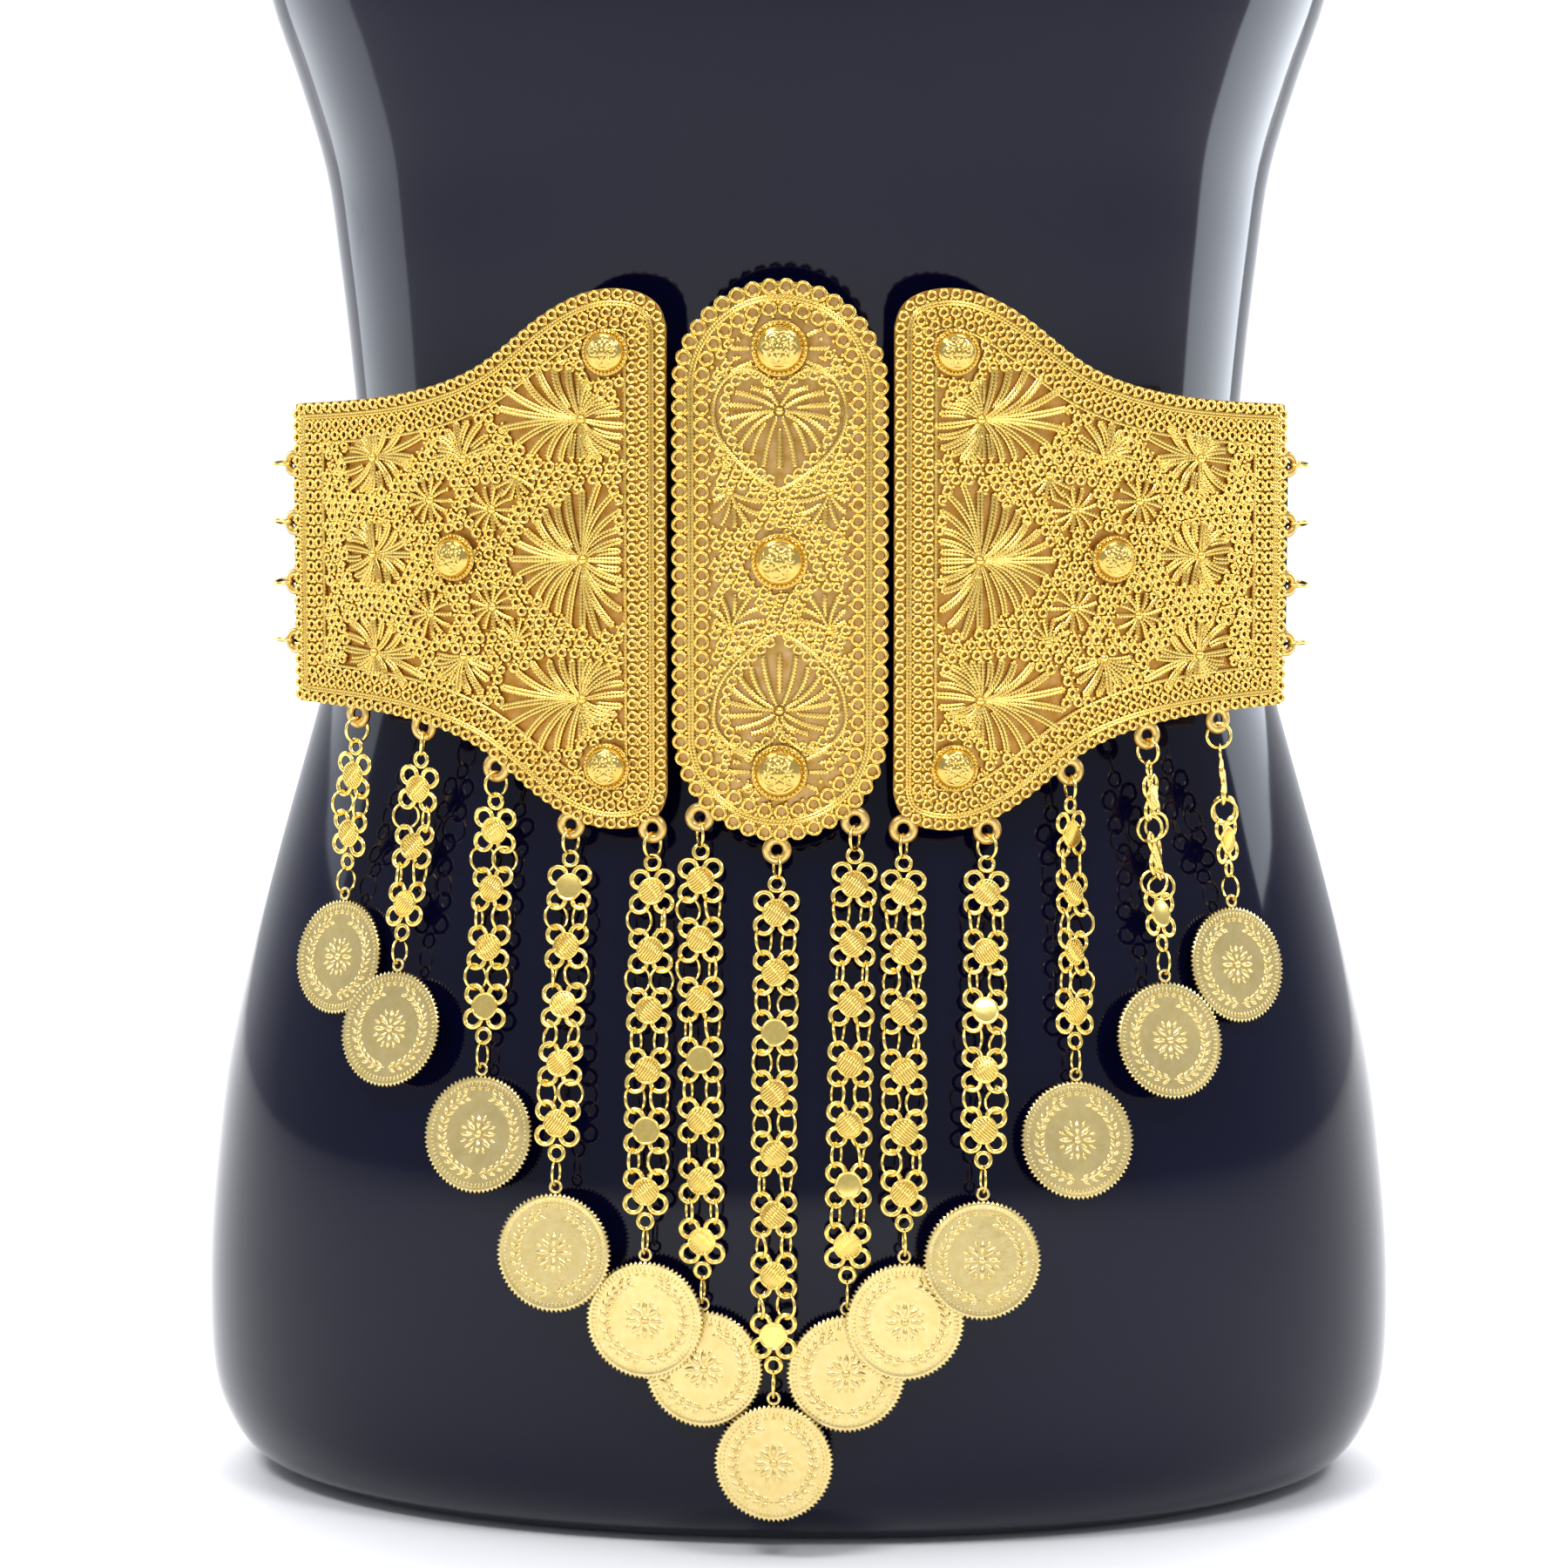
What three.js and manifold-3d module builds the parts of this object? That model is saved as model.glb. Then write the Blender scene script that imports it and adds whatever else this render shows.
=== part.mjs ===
// Coin belt on a limbless dress form.
// Millimetres, +Z up, the front faces -Y, the origin is under the middle of the form.

import * as THREE from 'three';
import { mergeVertices } from 'three/addons/utils/BufferGeometryUtils.js';
import Module from 'manifold-3d';

const wasm = await Module();
wasm.setup();

// Dress form, read as horizontal sections
const FORM_SEGMENTS = 38;
const FORM_EXPONENT = 2.1;
const SIDE_LIMIT = 0.999;
const FORM_COLUMNS = ['z', 'half', 'front', 'back'];
const FORM_ROWS = [
  [0, 142, 93, 95],
  [5, 154, 102, 104],
  [15, 162, 109, 111],
  [30, 166.5, 111.5, 114],
  [60, 167, 112.5, 116],
  [90, 164.5, 112, 115.5],
  [118, 160.8, 109, 112.5],
  [144, 155, 103.5, 106.5],
  [168, 148.5, 96.5, 99],
  [192, 141.5, 89, 91],
  [216, 134.5, 84, 84],
  [240, 127.8, 81, 79],
  [262, 123.6, 79.5, 76],
  [285, 122.5, 79.5, 75.5],
  [312, 124.5, 81.5, 78],
  [340, 127.6, 86, 83],
  [364, 131, 90, 88.5],
  [388, 138, 94.5, 94],
  [412, 146, 98.5, 98.5],
  [450, 154.5, 103.5, 103],
  [500, 160, 106, 105],
  [540, 159.5, 102, 102],
  [570, 152, 93, 96],
  [592, 136, 83, 88],
  [610, 110, 72, 78],
  [626, 82, 61, 67],
  [642, 63, 53.5, 58],
  [660, 54, 50, 52],
  [688, 52, 49, 50],
  [694, 48, 45, 46],
];

// The three stiff plates lie on one upright arc
const PLATE_RADIUS = 220;
const PLATE_FRONT = 97.5;
const PLATE_MIDDLE_Z = 260;
const PLATE_THICKNESS = 1.2;
const FIT_GAP = 0.3;
const CENTRE_FACETS = [-8.2, 5, 3.28];
const WING_FACETS = [6.6, 8, 4.15];
const CENTRE_HALF_WIDTH = 28;
const CENTRE_HALF_HEIGHT = 73;
const CENTRE_ARC_STEPS = 8;
const SHELL_SPARE = 40;
const WING_COLUMNS = ['x', 'height'];
const WING_ROWS = [
  [29.4, 60.5],
  [30.6, 64.6],
  [33, 67.6],
  [37.5, 69.8],
  [44, 70.6],
  [51, 69.5],
  [58, 66.4],
  [64.5, 62.2],
  [71, 57.0],
  [77, 52.3],
  [83, 48.8],
  [90, 46.0],
  [98, 43.8],
  [107, 42.2],
  [119, 41.0],
  [132.6, 40.2],
];

// Filigree plate over each base plate, open between the rays of its fans
const FILIGREE_THICKNESS = 1.2;
const FILIGREE_INSET = 0.5;
const SHARPEST_MITRE = 0.4;
const PETAL_FILL = 0.62;
const PETAL_ROOT = 0.6;
const PETAL_SHOULDER = 0.82;
const FAN_COLUMNS = ['x', 'up', 'inner', 'outer', 'from', 'sweep', 'petals'];
const WING_FANS = [
  [52, 0, 6, 19, -90, 180, 8],
  [50, 40, 5, 15, 0, 180, 7],
  [50, -40, 5, 15, 180, 180, 7],
  [111, 26, 3.2, 8.6, 36, 360, 5],
  [111, 0, 3.2, 8.6, 36, 360, 5],
  [111, -26, 3.2, 8.6, 36, 360, 5],
];
const CENTRE_FANS = [
  [0, 32, 5.5, 16, -10, 200, 8],
  [0, -32, 5.5, 16, 170, 200, 8],
  [-12, 12, 2.4, 7.6, 100, 200, 3],
  [12, 12, 2.4, 7.6, -120, 200, 3],
  [-12, -12, 2.4, 7.6, 60, 200, 3],
  [12, -12, 2.4, 7.6, -80, 200, 3],
];

// Domed studs, in rows of x and height above the middle
const STUD_COLUMNS = ['radius', 'height'];
const STUD_PROFILE = [
  [7.4, 0],
  [7.4, 0.9],
  [6, 2.6],
  [3.2, 4.1],
];
const STUD_CROWN = 4.5;
const STUD_SEGMENTS = 12;
const WING_STUD_SCALE = 0.82;
const CENTRE_STUDS = [[0, 55], [0, 0], [0, -55]];
const WING_STUDS = [[45, 54], [86, 0], [45, -54]];

// Lugs under the plates carry the strands, and tabs at the ends carry rings
const LUG_RADIUS = 3.65;
const LUG_HOLE = 1.7;
const TAB_RADIUS = 3.3;
const TAB_HOLE = 1.6;
const TAB_X = 133.6;
const TAB_HEIGHTS = [24, 8, -8, -24];
const ROUND_SIDES = 10;
const HOLE_SIDES = 8;

// Rings of round wire
const WIRE_RADIUS = 0.4;
const JUMP_RING_RADIUS = 3.35;
const SIDE_RING_RADIUS = 3.0;
const RING_STEPS = 7;
const WIRE_SIDES = 3;

// Chain strands from left to right: how many links, the place of the lug, how far
// the strand drifts sideways, how many layers its coin lies over the lowest ones,
// and how far in degrees that coin swings out
const LINK_PITCH = 15.7;
const LINK_THICKNESS = 1.2;
const FIRST_LINK = 16.7;
const COIN_LOOP_DROP = 16.5;
const CHAIN_OFFSET = 4.2;
const LIFT_STEP = 2.8;
const LIFT_LENGTH = 45;
const LIFT_END = 35;
const LUG_BLEND = 6;
const PATH_STEP = 0.5;
const PATH_SPARE = 20;
const PATH_REACH = 3;
const STRAND_COLUMNS = ['links', 'x', 'z', 'drift', 'layer', 'swing'];
const STRAND_ROWS = [
  [2, -115, 217.2, -5.4, 0, 2.5],
  [3, -95.9, 214.7, -8, 1, 35],
  [4, -75.6, 204.6, -3.4, 0, 35],
  [5, -55.3, 190.2, -2.6, 2, 35],
  [6, -33.5, 189.8, -0.6, 1, 6],
  [7, -21, 193, 2.2, 0, 2],
  [8, -0.8, 184.6, 0.3, 1, 35],
  [7, 19.6, 192.2, -1.5, 0, 2],
  [6, 32.2, 190, 1.2, 1, 6],
  [5, 54, 189.4, -0.7, 2, 35],
  [4, 75.6, 204.4, 2.3, 0, 35],
  [3, 95.9, 213.2, 6.4, 1, 35],
  [2, 115, 216.6, 5.6, 0, 2.5],
];

// Half outline of one link, in rows of across and down from its middle
const BAR_INNER = 3.25;
const BAR_OUTER = 4.15;
const LINK_TOP = 6.0;
const LINK_SIDE = [
  [6.3, -3.6],
  [4.6, 0],
  [6.3, 3.6],
];
const LOOP_TIP = [
  [2.5, 8.4],
  [1.3, 10],
];

// Coins
const COIN_RADIUS = 15.6;
const COIN_THICKNESS = 1.2;
const COIN_SIDES = 26;
const COIN_LOOP_RISE = 17.1;
const COIN_LOOP_RADIUS = 1.9;
const COIN_LOOP_HOLE = 1.0;
const COIN_LOOP_THICKNESS = 1.0;

// Elastic band from wing to wing round the back
const BAND_THICKNESS = 1.0;
const BAND_HEIGHTS = [235, 260, 285];
const BAND_START_X = 117;
const BAND_OVERSHOOT = 2.2;
const BAND_LEAD_STEPS = 3;
const BAND_SIDE_STEPS = 17;
const BAND_CLEARANCE = 0.45;
const BAND_SLOT_HALF = 1.0;
const BAND_FIRST_ANGLE = -30;
const BAND_LAST_ANGLE = 90;
const BAND_SHARPEST = 0.75;

const GOLD = new THREE.MeshStandardMaterial({ color: 0xe2b23c, roughness: 0.32, metalness: 1 });
const GOLD_BASE = new THREE.MeshStandardMaterial({ color: 0xcf9f3f, roughness: 0.4, metalness: 1 });
const GOLD_COIN = new THREE.MeshStandardMaterial({ color: 0xd9b968, roughness: 0.42, metalness: 1 });
const GLOSS_BLACK = new THREE.MeshStandardMaterial({ color: 0x0b0c0e, roughness: 0.12, metalness: 0 });
const ELASTIC = new THREE.MeshStandardMaterial({ color: 0x16161a, roughness: 0.9, metalness: 0 });

const radians = THREE.MathUtils.degToRad;

// Reads a table's rows as objects with named columns
function table(columns, rows) {
  return rows.map((row) => Object.fromEntries(columns.map((name, i) => [name, row[i]])));
}

const FORM = table(FORM_COLUMNS, FORM_ROWS);
const WING = table(WING_COLUMNS, WING_ROWS);
const STRANDS = table(STRAND_COLUMNS, STRAND_ROWS);

// Closed geometry with shared corners and positions only
function closed(geometry) {
  const plain = geometry.index ? geometry.clone() : geometry;
  plain.deleteAttribute('normal');
  plain.deleteAttribute('uv');
  return mergeVertices(plain, 1e-4);
}

function solidOf(geometry) {
  const merged = closed(geometry);
  return new wasm.Manifold(
    new wasm.Mesh({
      numProp: 3,
      vertProperties: new Float32Array(merged.attributes.position.array),
      triVerts: new Uint32Array(merged.index.array),
    }),
  );
}

function geometryOf(solid) {
  const mesh = solid.getMesh();
  const geometry = new THREE.BufferGeometry();
  geometry.setAttribute('position', new THREE.BufferAttribute(mesh.vertProperties, 3));
  geometry.setIndex(new THREE.BufferAttribute(mesh.triVerts, 1));
  return geometry;
}

function geometryFrom(positions, faces) {
  const geometry = new THREE.BufferGeometry();
  geometry.setAttribute('position', new THREE.Float32BufferAttribute(positions, 3));
  geometry.setIndex(faces);
  return geometry;
}

// The form's section at a height, and its surface moved outward
function sectionAt(z) {
  const top = FORM.length - 1;
  let i = 0;
  while (i < top - 1 && FORM[i + 1].z < z) i += 1;
  const t = THREE.MathUtils.clamp((z - FORM[i].z) / (FORM[i + 1].z - FORM[i].z), 0, 1);
  return Object.fromEntries(
    FORM_COLUMNS.map((name) => [name, THREE.MathUtils.lerp(FORM[i][name], FORM[i + 1][name], t)]),
  );
}

function sectionPoint(section, angle, offset) {
  const power = 2 / FORM_EXPONENT;
  const c = Math.cos(angle);
  const s = Math.sin(angle);
  const depth = s < 0 ? section.front : section.back;
  return [
    Math.sign(c) * Math.abs(c) ** power * (section.half + offset),
    Math.sign(s) * Math.abs(s) ** power * (depth + offset),
  ];
}

function frontY(x, z, offset) {
  const section = sectionAt(z);
  const t = Math.min(Math.abs(x) / (section.half + offset), SIDE_LIMIT);
  return -(section.front + offset) * (1 - t ** FORM_EXPONENT) ** (1 / FORM_EXPONENT);
}

// How far the surface faces sideways at x, from straight ahead
function facing(x, z, offset) {
  const section = sectionAt(z);
  const half = section.half + offset;
  const depth = section.front + offset;
  const y = Math.abs(frontY(x, z, offset));
  const side = (Math.abs(x) / half) ** (FORM_EXPONENT - 1) / half;
  const ahead = (y / depth) ** (FORM_EXPONENT - 1) / depth;
  return Math.sign(x) * Math.atan2(side, ahead);
}

function dressForm() {
  const positions = [];
  const faces = [];
  FORM.forEach((section) => {
    for (let i = 0; i < FORM_SEGMENTS; i += 1) {
      const [x, y] = sectionPoint(section, (i / FORM_SEGMENTS) * Math.PI * 2, 0);
      positions.push(x, y, section.z);
    }
  });
  for (let row = 0; row < FORM.length - 1; row += 1) {
    for (let i = 0; i < FORM_SEGMENTS; i += 1) {
      const a = row * FORM_SEGMENTS + i;
      const b = row * FORM_SEGMENTS + ((i + 1) % FORM_SEGMENTS);
      faces.push(a, b, b + FORM_SEGMENTS, a, b + FORM_SEGMENTS, a + FORM_SEGMENTS);
    }
  }
  const last = (FORM.length - 1) * FORM_SEGMENTS;
  const bottom = positions.length / 3;
  positions.push(0, 0, FORM[0].z, 0, 0, FORM[FORM.length - 1].z);
  for (let i = 0; i < FORM_SEGMENTS; i += 1) {
    const next = (i + 1) % FORM_SEGMENTS;
    faces.push(bottom, next, i, bottom + 1, last + i, last + next);
  }
  return geometryFrom(positions, faces);
}

// Prism of an outline in x and z, running back to front
function prism(points) {
  const shape = new THREE.Shape(points.map(([x, z]) => new THREE.Vector2(x, z)));
  const geometry = new THREE.ExtrudeGeometry(shape, { depth: PLATE_RADIUS, bevelEnabled: false });
  geometry.rotateX(Math.PI / 2);
  return solidOf(geometry);
}

function circle(x, z, radius, sides = ROUND_SIDES, turn = 0) {
  return Array.from({ length: sides }, (_, i) => {
    const angle = ((i + 0.5) / sides) * Math.PI * 2 + turn;
    return [x + radius * Math.cos(angle), z + radius * Math.sin(angle)];
  });
}

// A point on the plates' arc, w outward from its middle surface
function arcPoint(angle, w) {
  const radius = PLATE_RADIUS + w;
  return [radius * Math.sin(angle), PLATE_RADIUS - PLATE_FRONT - radius * Math.cos(angle)];
}

function arcAngle(x) {
  return Math.asin(x / PLATE_RADIUS);
}

// Upright shell between two radii, in facets of first angle, count and step
function arcShell(side, inner, outer) {
  const [first, count, step] = side === 0 ? CENTRE_FACETS : WING_FACETS;
  const degrees = Array.from({ length: count + 1 }, (_, i) => first + i * step);
  const angles = degrees.map((angle) => radians(angle) * (side || 1));
  const points = [
    ...angles.map((angle) => arcPoint(angle, outer)),
    ...angles.reverse().map((angle) => arcPoint(angle, inner)),
  ];
  const shape = new THREE.Shape(points.map(([x, y]) => new THREE.Vector2(x, y)));
  const height = CENTRE_HALF_HEIGHT * 2 + SHELL_SPARE;
  const geometry = new THREE.ExtrudeGeometry(shape, { depth: height, bevelEnabled: false });
  geometry.translate(0, 0, PLATE_MIDDLE_Z - height / 2);
  return solidOf(geometry);
}

function wingOutline(side) {
  const upper = WING.map(({ x, height }) => [side * x, PLATE_MIDDLE_Z + height]);
  const lower = WING.map(({ x, height }) => [side * x, PLATE_MIDDLE_Z - height]).reverse();
  return [...upper, ...lower];
}

function centreOutline() {
  const points = [];
  [1, -1].forEach((end) => {
    for (let i = 0; i <= CENTRE_ARC_STEPS; i += 1) {
      const angle = (i / CENTRE_ARC_STEPS) * Math.PI + (end > 0 ? 0 : Math.PI);
      const z = PLATE_MIDDLE_Z + end * (CENTRE_HALF_HEIGHT - CENTRE_HALF_WIDTH);
      points.push([
        CENTRE_HALF_WIDTH * Math.cos(angle),
        z + CENTRE_HALF_WIDTH * Math.sin(angle),
      ]);
    }
  });
  return points;
}

// Moves an outline inward by the same distance on every edge
function inset(points, distance) {
  const count = points.length;
  const area = points.reduce((sum, [x, z], i) => {
    const [nx, nz] = points[(i + 1) % count];
    return sum + x * nz - nx * z;
  }, 0);
  const turn = Math.sign(area);
  return points.map(([x, z], i) => {
    const [px, pz] = points[(i + count - 1) % count];
    const [nx, nz] = points[(i + 1) % count];
    const before = new THREE.Vector2(-(z - pz), x - px).normalize().multiplyScalar(turn);
    const after = new THREE.Vector2(-(nz - z), nx - x).normalize().multiplyScalar(turn);
    const mitre = before.add(after).normalize();
    const reach = distance / Math.max(mitre.dot(after), SHARPEST_MITRE);
    return [x + mitre.x * reach, z + mitre.y * reach];
  });
}

function outlineOf(side) {
  return side === 0 ? centreOutline() : wingOutline(side);
}

function lugsOf(side) {
  return STRANDS.filter(({ x }) => (Math.abs(x) < CENTRE_HALF_WIDTH ? 0 : Math.sign(x)) === side);
}

function basePlate(side) {
  let flat = prism(outlineOf(side));
  const holes = [];
  lugsOf(side).forEach(({ x, z }) => {
    flat = flat.add(prism(circle(x, z, LUG_RADIUS)));
    holes.push(prism(circle(x, z, LUG_HOLE, HOLE_SIDES)));
  });
  if (side !== 0) {
    TAB_HEIGHTS.forEach((height) => {
      flat = flat.add(prism(circle(side * TAB_X, PLATE_MIDDLE_Z + height, TAB_RADIUS)));
      holes.push(prism(circle(side * TAB_X, PLATE_MIDDLE_Z + height, TAB_HOLE, HOLE_SIDES)));
    });
  }
  holes.forEach((hole) => {
    flat = flat.subtract(hole);
  });
  const shell = arcShell(side, -PLATE_THICKNESS / 2, PLATE_THICKNESS / 2);
  return geometryOf(shell.intersect(flat));
}

// Open petals between the rays of a fan
function petal(fan, side, index) {
  const step = fan.sweep / fan.petals;
  const middle = radians(fan.from + (index + 0.5) * step);
  const half = radians(step * PETAL_FILL) / 2;
  const corners = [
    [fan.inner, -half * PETAL_ROOT],
    [fan.outer * PETAL_SHOULDER, -half],
    [fan.outer, 0],
    [fan.outer * PETAL_SHOULDER, half],
    [fan.inner, half * PETAL_ROOT],
  ];
  return corners.map(([radius, turn]) => [
    (side || 1) * (fan.x + radius * Math.cos(middle + turn)),
    PLATE_MIDDLE_Z + fan.up + radius * Math.sin(middle + turn),
  ]);
}

function filigreePlate(side) {
  const outline = outlineOf(side);
  const fans = table(FAN_COLUMNS, side === 0 ? CENTRE_FANS : WING_FANS);
  let flat = prism(inset(outline, FILIGREE_INSET));
  fans.forEach((fan) => {
    for (let i = 0; i < fan.petals; i += 1) flat = flat.subtract(prism(petal(fan, side, i)));
  });
  const inner = PLATE_THICKNESS / 2 + FIT_GAP;
  const outer = inner + FILIGREE_THICKNESS;
  return geometryOf(arcShell(side, inner, outer).intersect(flat));
}

// A piece's own frame on the plates' arc: x across, y up, z outward
function onArc(x, z, w) {
  const angle = arcAngle(x);
  const [px, py] = arcPoint(angle, w);
  const across = new THREE.Vector3(Math.cos(angle), Math.sin(angle), 0);
  const up = new THREE.Vector3(0, 0, 1);
  const out = new THREE.Vector3(Math.sin(angle), -Math.cos(angle), 0);
  const matrix = new THREE.Matrix4().makeBasis(across, up, out);
  matrix.setPosition(px, py, z);
  return matrix;
}

function stud(x, height, scale) {
  const rows = table(STUD_COLUMNS, STUD_PROFILE);
  const side = rows.map(({ radius, height: rise }) => new THREE.Vector2(radius * scale, rise));
  const profile = [new THREE.Vector2(0, 0), ...side, new THREE.Vector2(0, STUD_CROWN)];
  const geometry = closed(new THREE.LatheGeometry(profile, STUD_SEGMENTS));
  geometry.rotateX(Math.PI / 2);
  const seat = PLATE_THICKNESS / 2 + FIT_GAP * 2 + FILIGREE_THICKNESS;
  geometry.applyMatrix4(onArc(x, PLATE_MIDDLE_Z + height, seat));
  return geometryOf(solidOf(geometry));
}

// Ring of wire in its own x-y plane, centred on the origin
function wireRing(radius) {
  const positions = [];
  const faces = [];
  for (let i = 0; i < RING_STEPS; i += 1) {
    const around = ((i + 0.5) / RING_STEPS) * Math.PI * 2;
    for (let j = 0; j < WIRE_SIDES; j += 1) {
      const turn = (j / WIRE_SIDES) * Math.PI * 2;
      const reach = radius + WIRE_RADIUS * Math.cos(turn);
      positions.push(reach * Math.cos(around), reach * Math.sin(around));
      positions.push(WIRE_RADIUS * Math.sin(turn));
    }
  }
  for (let i = 0; i < RING_STEPS; i += 1) {
    for (let j = 0; j < WIRE_SIDES; j += 1) {
      const a = i * WIRE_SIDES + j;
      const b = i * WIRE_SIDES + ((j + 1) % WIRE_SIDES);
      const c = ((i + 1) % RING_STEPS) * WIRE_SIDES + j;
      const d = ((i + 1) % RING_STEPS) * WIRE_SIDES + ((j + 1) % WIRE_SIDES);
      faces.push(a, c, d, a, d, b);
    }
  }
  return geometryFrom(positions, faces);
}

function sideRingCentre() {
  return TAB_HOLE - WIRE_RADIUS - FIT_GAP + SIDE_RING_RADIUS;
}

// Level ring hooked in a tab at the end of a wing
function sideRing(side, height) {
  const geometry = wireRing(SIDE_RING_RADIUS);
  geometry.rotateX(Math.PI / 2);
  geometry.translate(side * sideRingCentre(), 0, 0);
  geometry.applyMatrix4(onArc(side * TAB_X, PLATE_MIDDLE_Z + height, 0));
  return geometry;
}

// The way that a strand hangs: down from its lug, then on the form
function strandPath(strand) {
  const length = FIRST_LINK + (strand.links - 1) * LINK_PITCH + COIN_LOOP_DROP + COIN_LOOP_RISE;
  const steps = Math.ceil((length + PATH_SPARE) / PATH_STEP);
  const lifted = length - LIFT_END;
  const lugAngle = arcAngle(strand.x);
  const lugY = arcPoint(lugAngle, 0)[1];
  const places = [];
  let y = lugY;
  for (let i = 0; i <= steps; i += 1) {
    const drop = i * PATH_STEP;
    const t = THREE.MathUtils.clamp(drop / length, 0, 1);
    const x = strand.x + strand.drift * t;
    const z = strand.z - drop;
    const lift = THREE.MathUtils.smoothstep(drop, lifted - LIFT_LENGTH, lifted);
    const offset = CHAIN_OFFSET + strand.layer * LIFT_STEP * lift;
    const near = Math.min(1, drop / LUG_BLEND);
    y = Math.min(y, THREE.MathUtils.lerp(lugY, frontY(x, z, offset), near));
    const face = THREE.MathUtils.lerp(lugAngle, facing(x, z, offset), t);
    places.push({ x, y, z, face });
  }
  let run = 0;
  places.forEach((place, i) => {
    if (i > 0) {
      const before = places[i - 1];
      run += Math.hypot(place.x - before.x, place.y - before.y, place.z - before.z);
    }
    place.run = run;
  });
  return places;
}

// Frame at a distance down the path: x across, y up the strand, z outward
function frameAt(places, down) {
  const at = (run) => {
    let i = 0;
    while (i < places.length - 2 && places[i + 1].run < run) i += 1;
    const a = places[i];
    const b = places[i + 1];
    const t = (run - a.run) / (b.run - a.run);
    const mix = (name) => THREE.MathUtils.lerp(a[name], b[name], t);
    return { point: new THREE.Vector3(mix('x'), mix('y'), mix('z')), face: mix('face') };
  };
  const here = at(down);
  const ahead = at(down + PATH_REACH).point;
  const behind = at(down - PATH_REACH).point;
  const up = behind.sub(ahead).normalize();
  const level = new THREE.Vector3(Math.cos(here.face), Math.sin(here.face), 0);
  const across = level.sub(up.clone().multiplyScalar(level.dot(up))).normalize();
  const out = across.clone().cross(up);
  const matrix = new THREE.Matrix4().makeBasis(across, up, out);
  matrix.setPosition(here.point);
  return matrix;
}

// Outline of one link with its connecting bars, or a loop at either end
function linkOutline(first, last) {
  const end = (sign, isLoop) => {
    if (isLoop) {
      return LOOP_TIP.map(([across, up]) => [across, sign * up]);
    }
    return [
      [BAR_INNER, sign * LINK_TOP],
      [BAR_INNER, sign * (LINK_PITCH / 2)],
      [BAR_OUTER, sign * (LINK_PITCH / 2)],
    ];
  };
  const top = first ? end(1, true).reverse() : end(1, false);
  const bottom = last ? end(-1, true) : end(-1, false).reverse();
  const right = [...top, ...LINK_SIDE.map(([across, down]) => [across, -down]), ...bottom];
  const left = right.map(([across, up]) => [-across, up]).reverse();
  return [...right, ...left];
}

// Chain of flat links bent along the path, one closed surface
function chain(strand, path) {
  const positions = [];
  const faces = [];
  for (let k = 0; k < strand.links; k += 1) {
    const outline = linkOutline(k === 0, k === strand.links - 1);
    const centre = FIRST_LINK + k * LINK_PITCH;
    const contour = outline.map(([across, up]) => new THREE.Vector2(across, up));
    const start = positions.length / 3;
    [LINK_THICKNESS / 2, -LINK_THICKNESS / 2].forEach((w) => {
      outline.forEach(([across, up]) => {
        const point = new THREE.Vector3(across, 0, w).applyMatrix4(frameAt(path, centre - up));
        positions.push(point.x, point.y, point.z);
      });
    });
    const count = outline.length;
    const ccw = !THREE.ShapeUtils.isClockWise(contour);
    THREE.ShapeUtils.triangulateShape(contour, []).forEach((corners) => {
      const flipped = THREE.ShapeUtils.isClockWise(corners.map((i) => contour[i]));
      const [a, b, c] = flipped ? corners.reverse() : corners;
      faces.push(start + a, start + b, start + c);
      faces.push(start + count + a, start + count + c, start + count + b);
    });
    for (let i = 0; i < count; i += 1) {
      const j = (i + 1) % count;
      const joined = Math.abs(outline[i][1]) === LINK_PITCH / 2 && outline[i][1] === outline[j][1];
      if (!joined) {
        const [a, b] = ccw ? [i, j] : [j, i];
        faces.push(start + b, start + a, start + count + a);
        faces.push(start + b, start + count + a, start + count + b);
      }
    }
  }
  return solidOf(geometryFrom(positions, faces));
}

// Jump ring standing square to the strand, its middle at a distance down
function jumpRing(path, down) {
  const geometry = wireRing(JUMP_RING_RADIUS);
  geometry.rotateY(Math.PI / 2);
  geometry.applyMatrix4(frameAt(path, down));
  return solidOf(geometry);
}

function strandEnds(strand) {
  const lastLink = FIRST_LINK + (strand.links - 1) * LINK_PITCH;
  const hinge = lastLink + COIN_LOOP_DROP - (COIN_LOOP_HOLE - WIRE_RADIUS - FIT_GAP);
  const top = LUG_HOLE - WIRE_RADIUS - FIT_GAP;
  return { top: top + JUMP_RING_RADIUS, hinge, bottom: hinge - JUMP_RING_RADIUS };
}

function strandGeometry(strand) {
  const path = strandPath(strand);
  const ends = strandEnds(strand);
  const whole = chain(strand, path)
    .add(jumpRing(path, ends.top))
    .add(jumpRing(path, ends.bottom));
  return geometryOf(whole);
}

// Upright disc in its own x-y plane
function disc(radius, thickness, sides, rise) {
  const shape = new THREE.Shape(circle(0, rise, radius, sides).map(([x, y]) => new THREE.Vector2(x, y)));
  const geometry = new THREE.ExtrudeGeometry(shape, { depth: thickness, bevelEnabled: false });
  geometry.translate(0, 0, -thickness / 2);
  return solidOf(geometry);
}

function coinGeometry(strand) {
  const path = strandPath(strand);
  const { hinge } = strandEnds(strand);
  const flat = disc(COIN_RADIUS, COIN_THICKNESS, COIN_SIDES, -COIN_LOOP_RISE)
    .add(disc(COIN_LOOP_RADIUS, COIN_LOOP_THICKNESS, HOLE_SIDES, 0))
    .subtract(disc(COIN_LOOP_HOLE, COIN_THICKNESS * 2, HOLE_SIDES, 0));
  const geometry = geometryOf(flat);
  geometry.translate(0, -(COIN_LOOP_HOLE - WIRE_RADIUS - FIT_GAP), 0);
  geometry.applyMatrix4(frameAt(path, hinge));
  return geometry;
}

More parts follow.
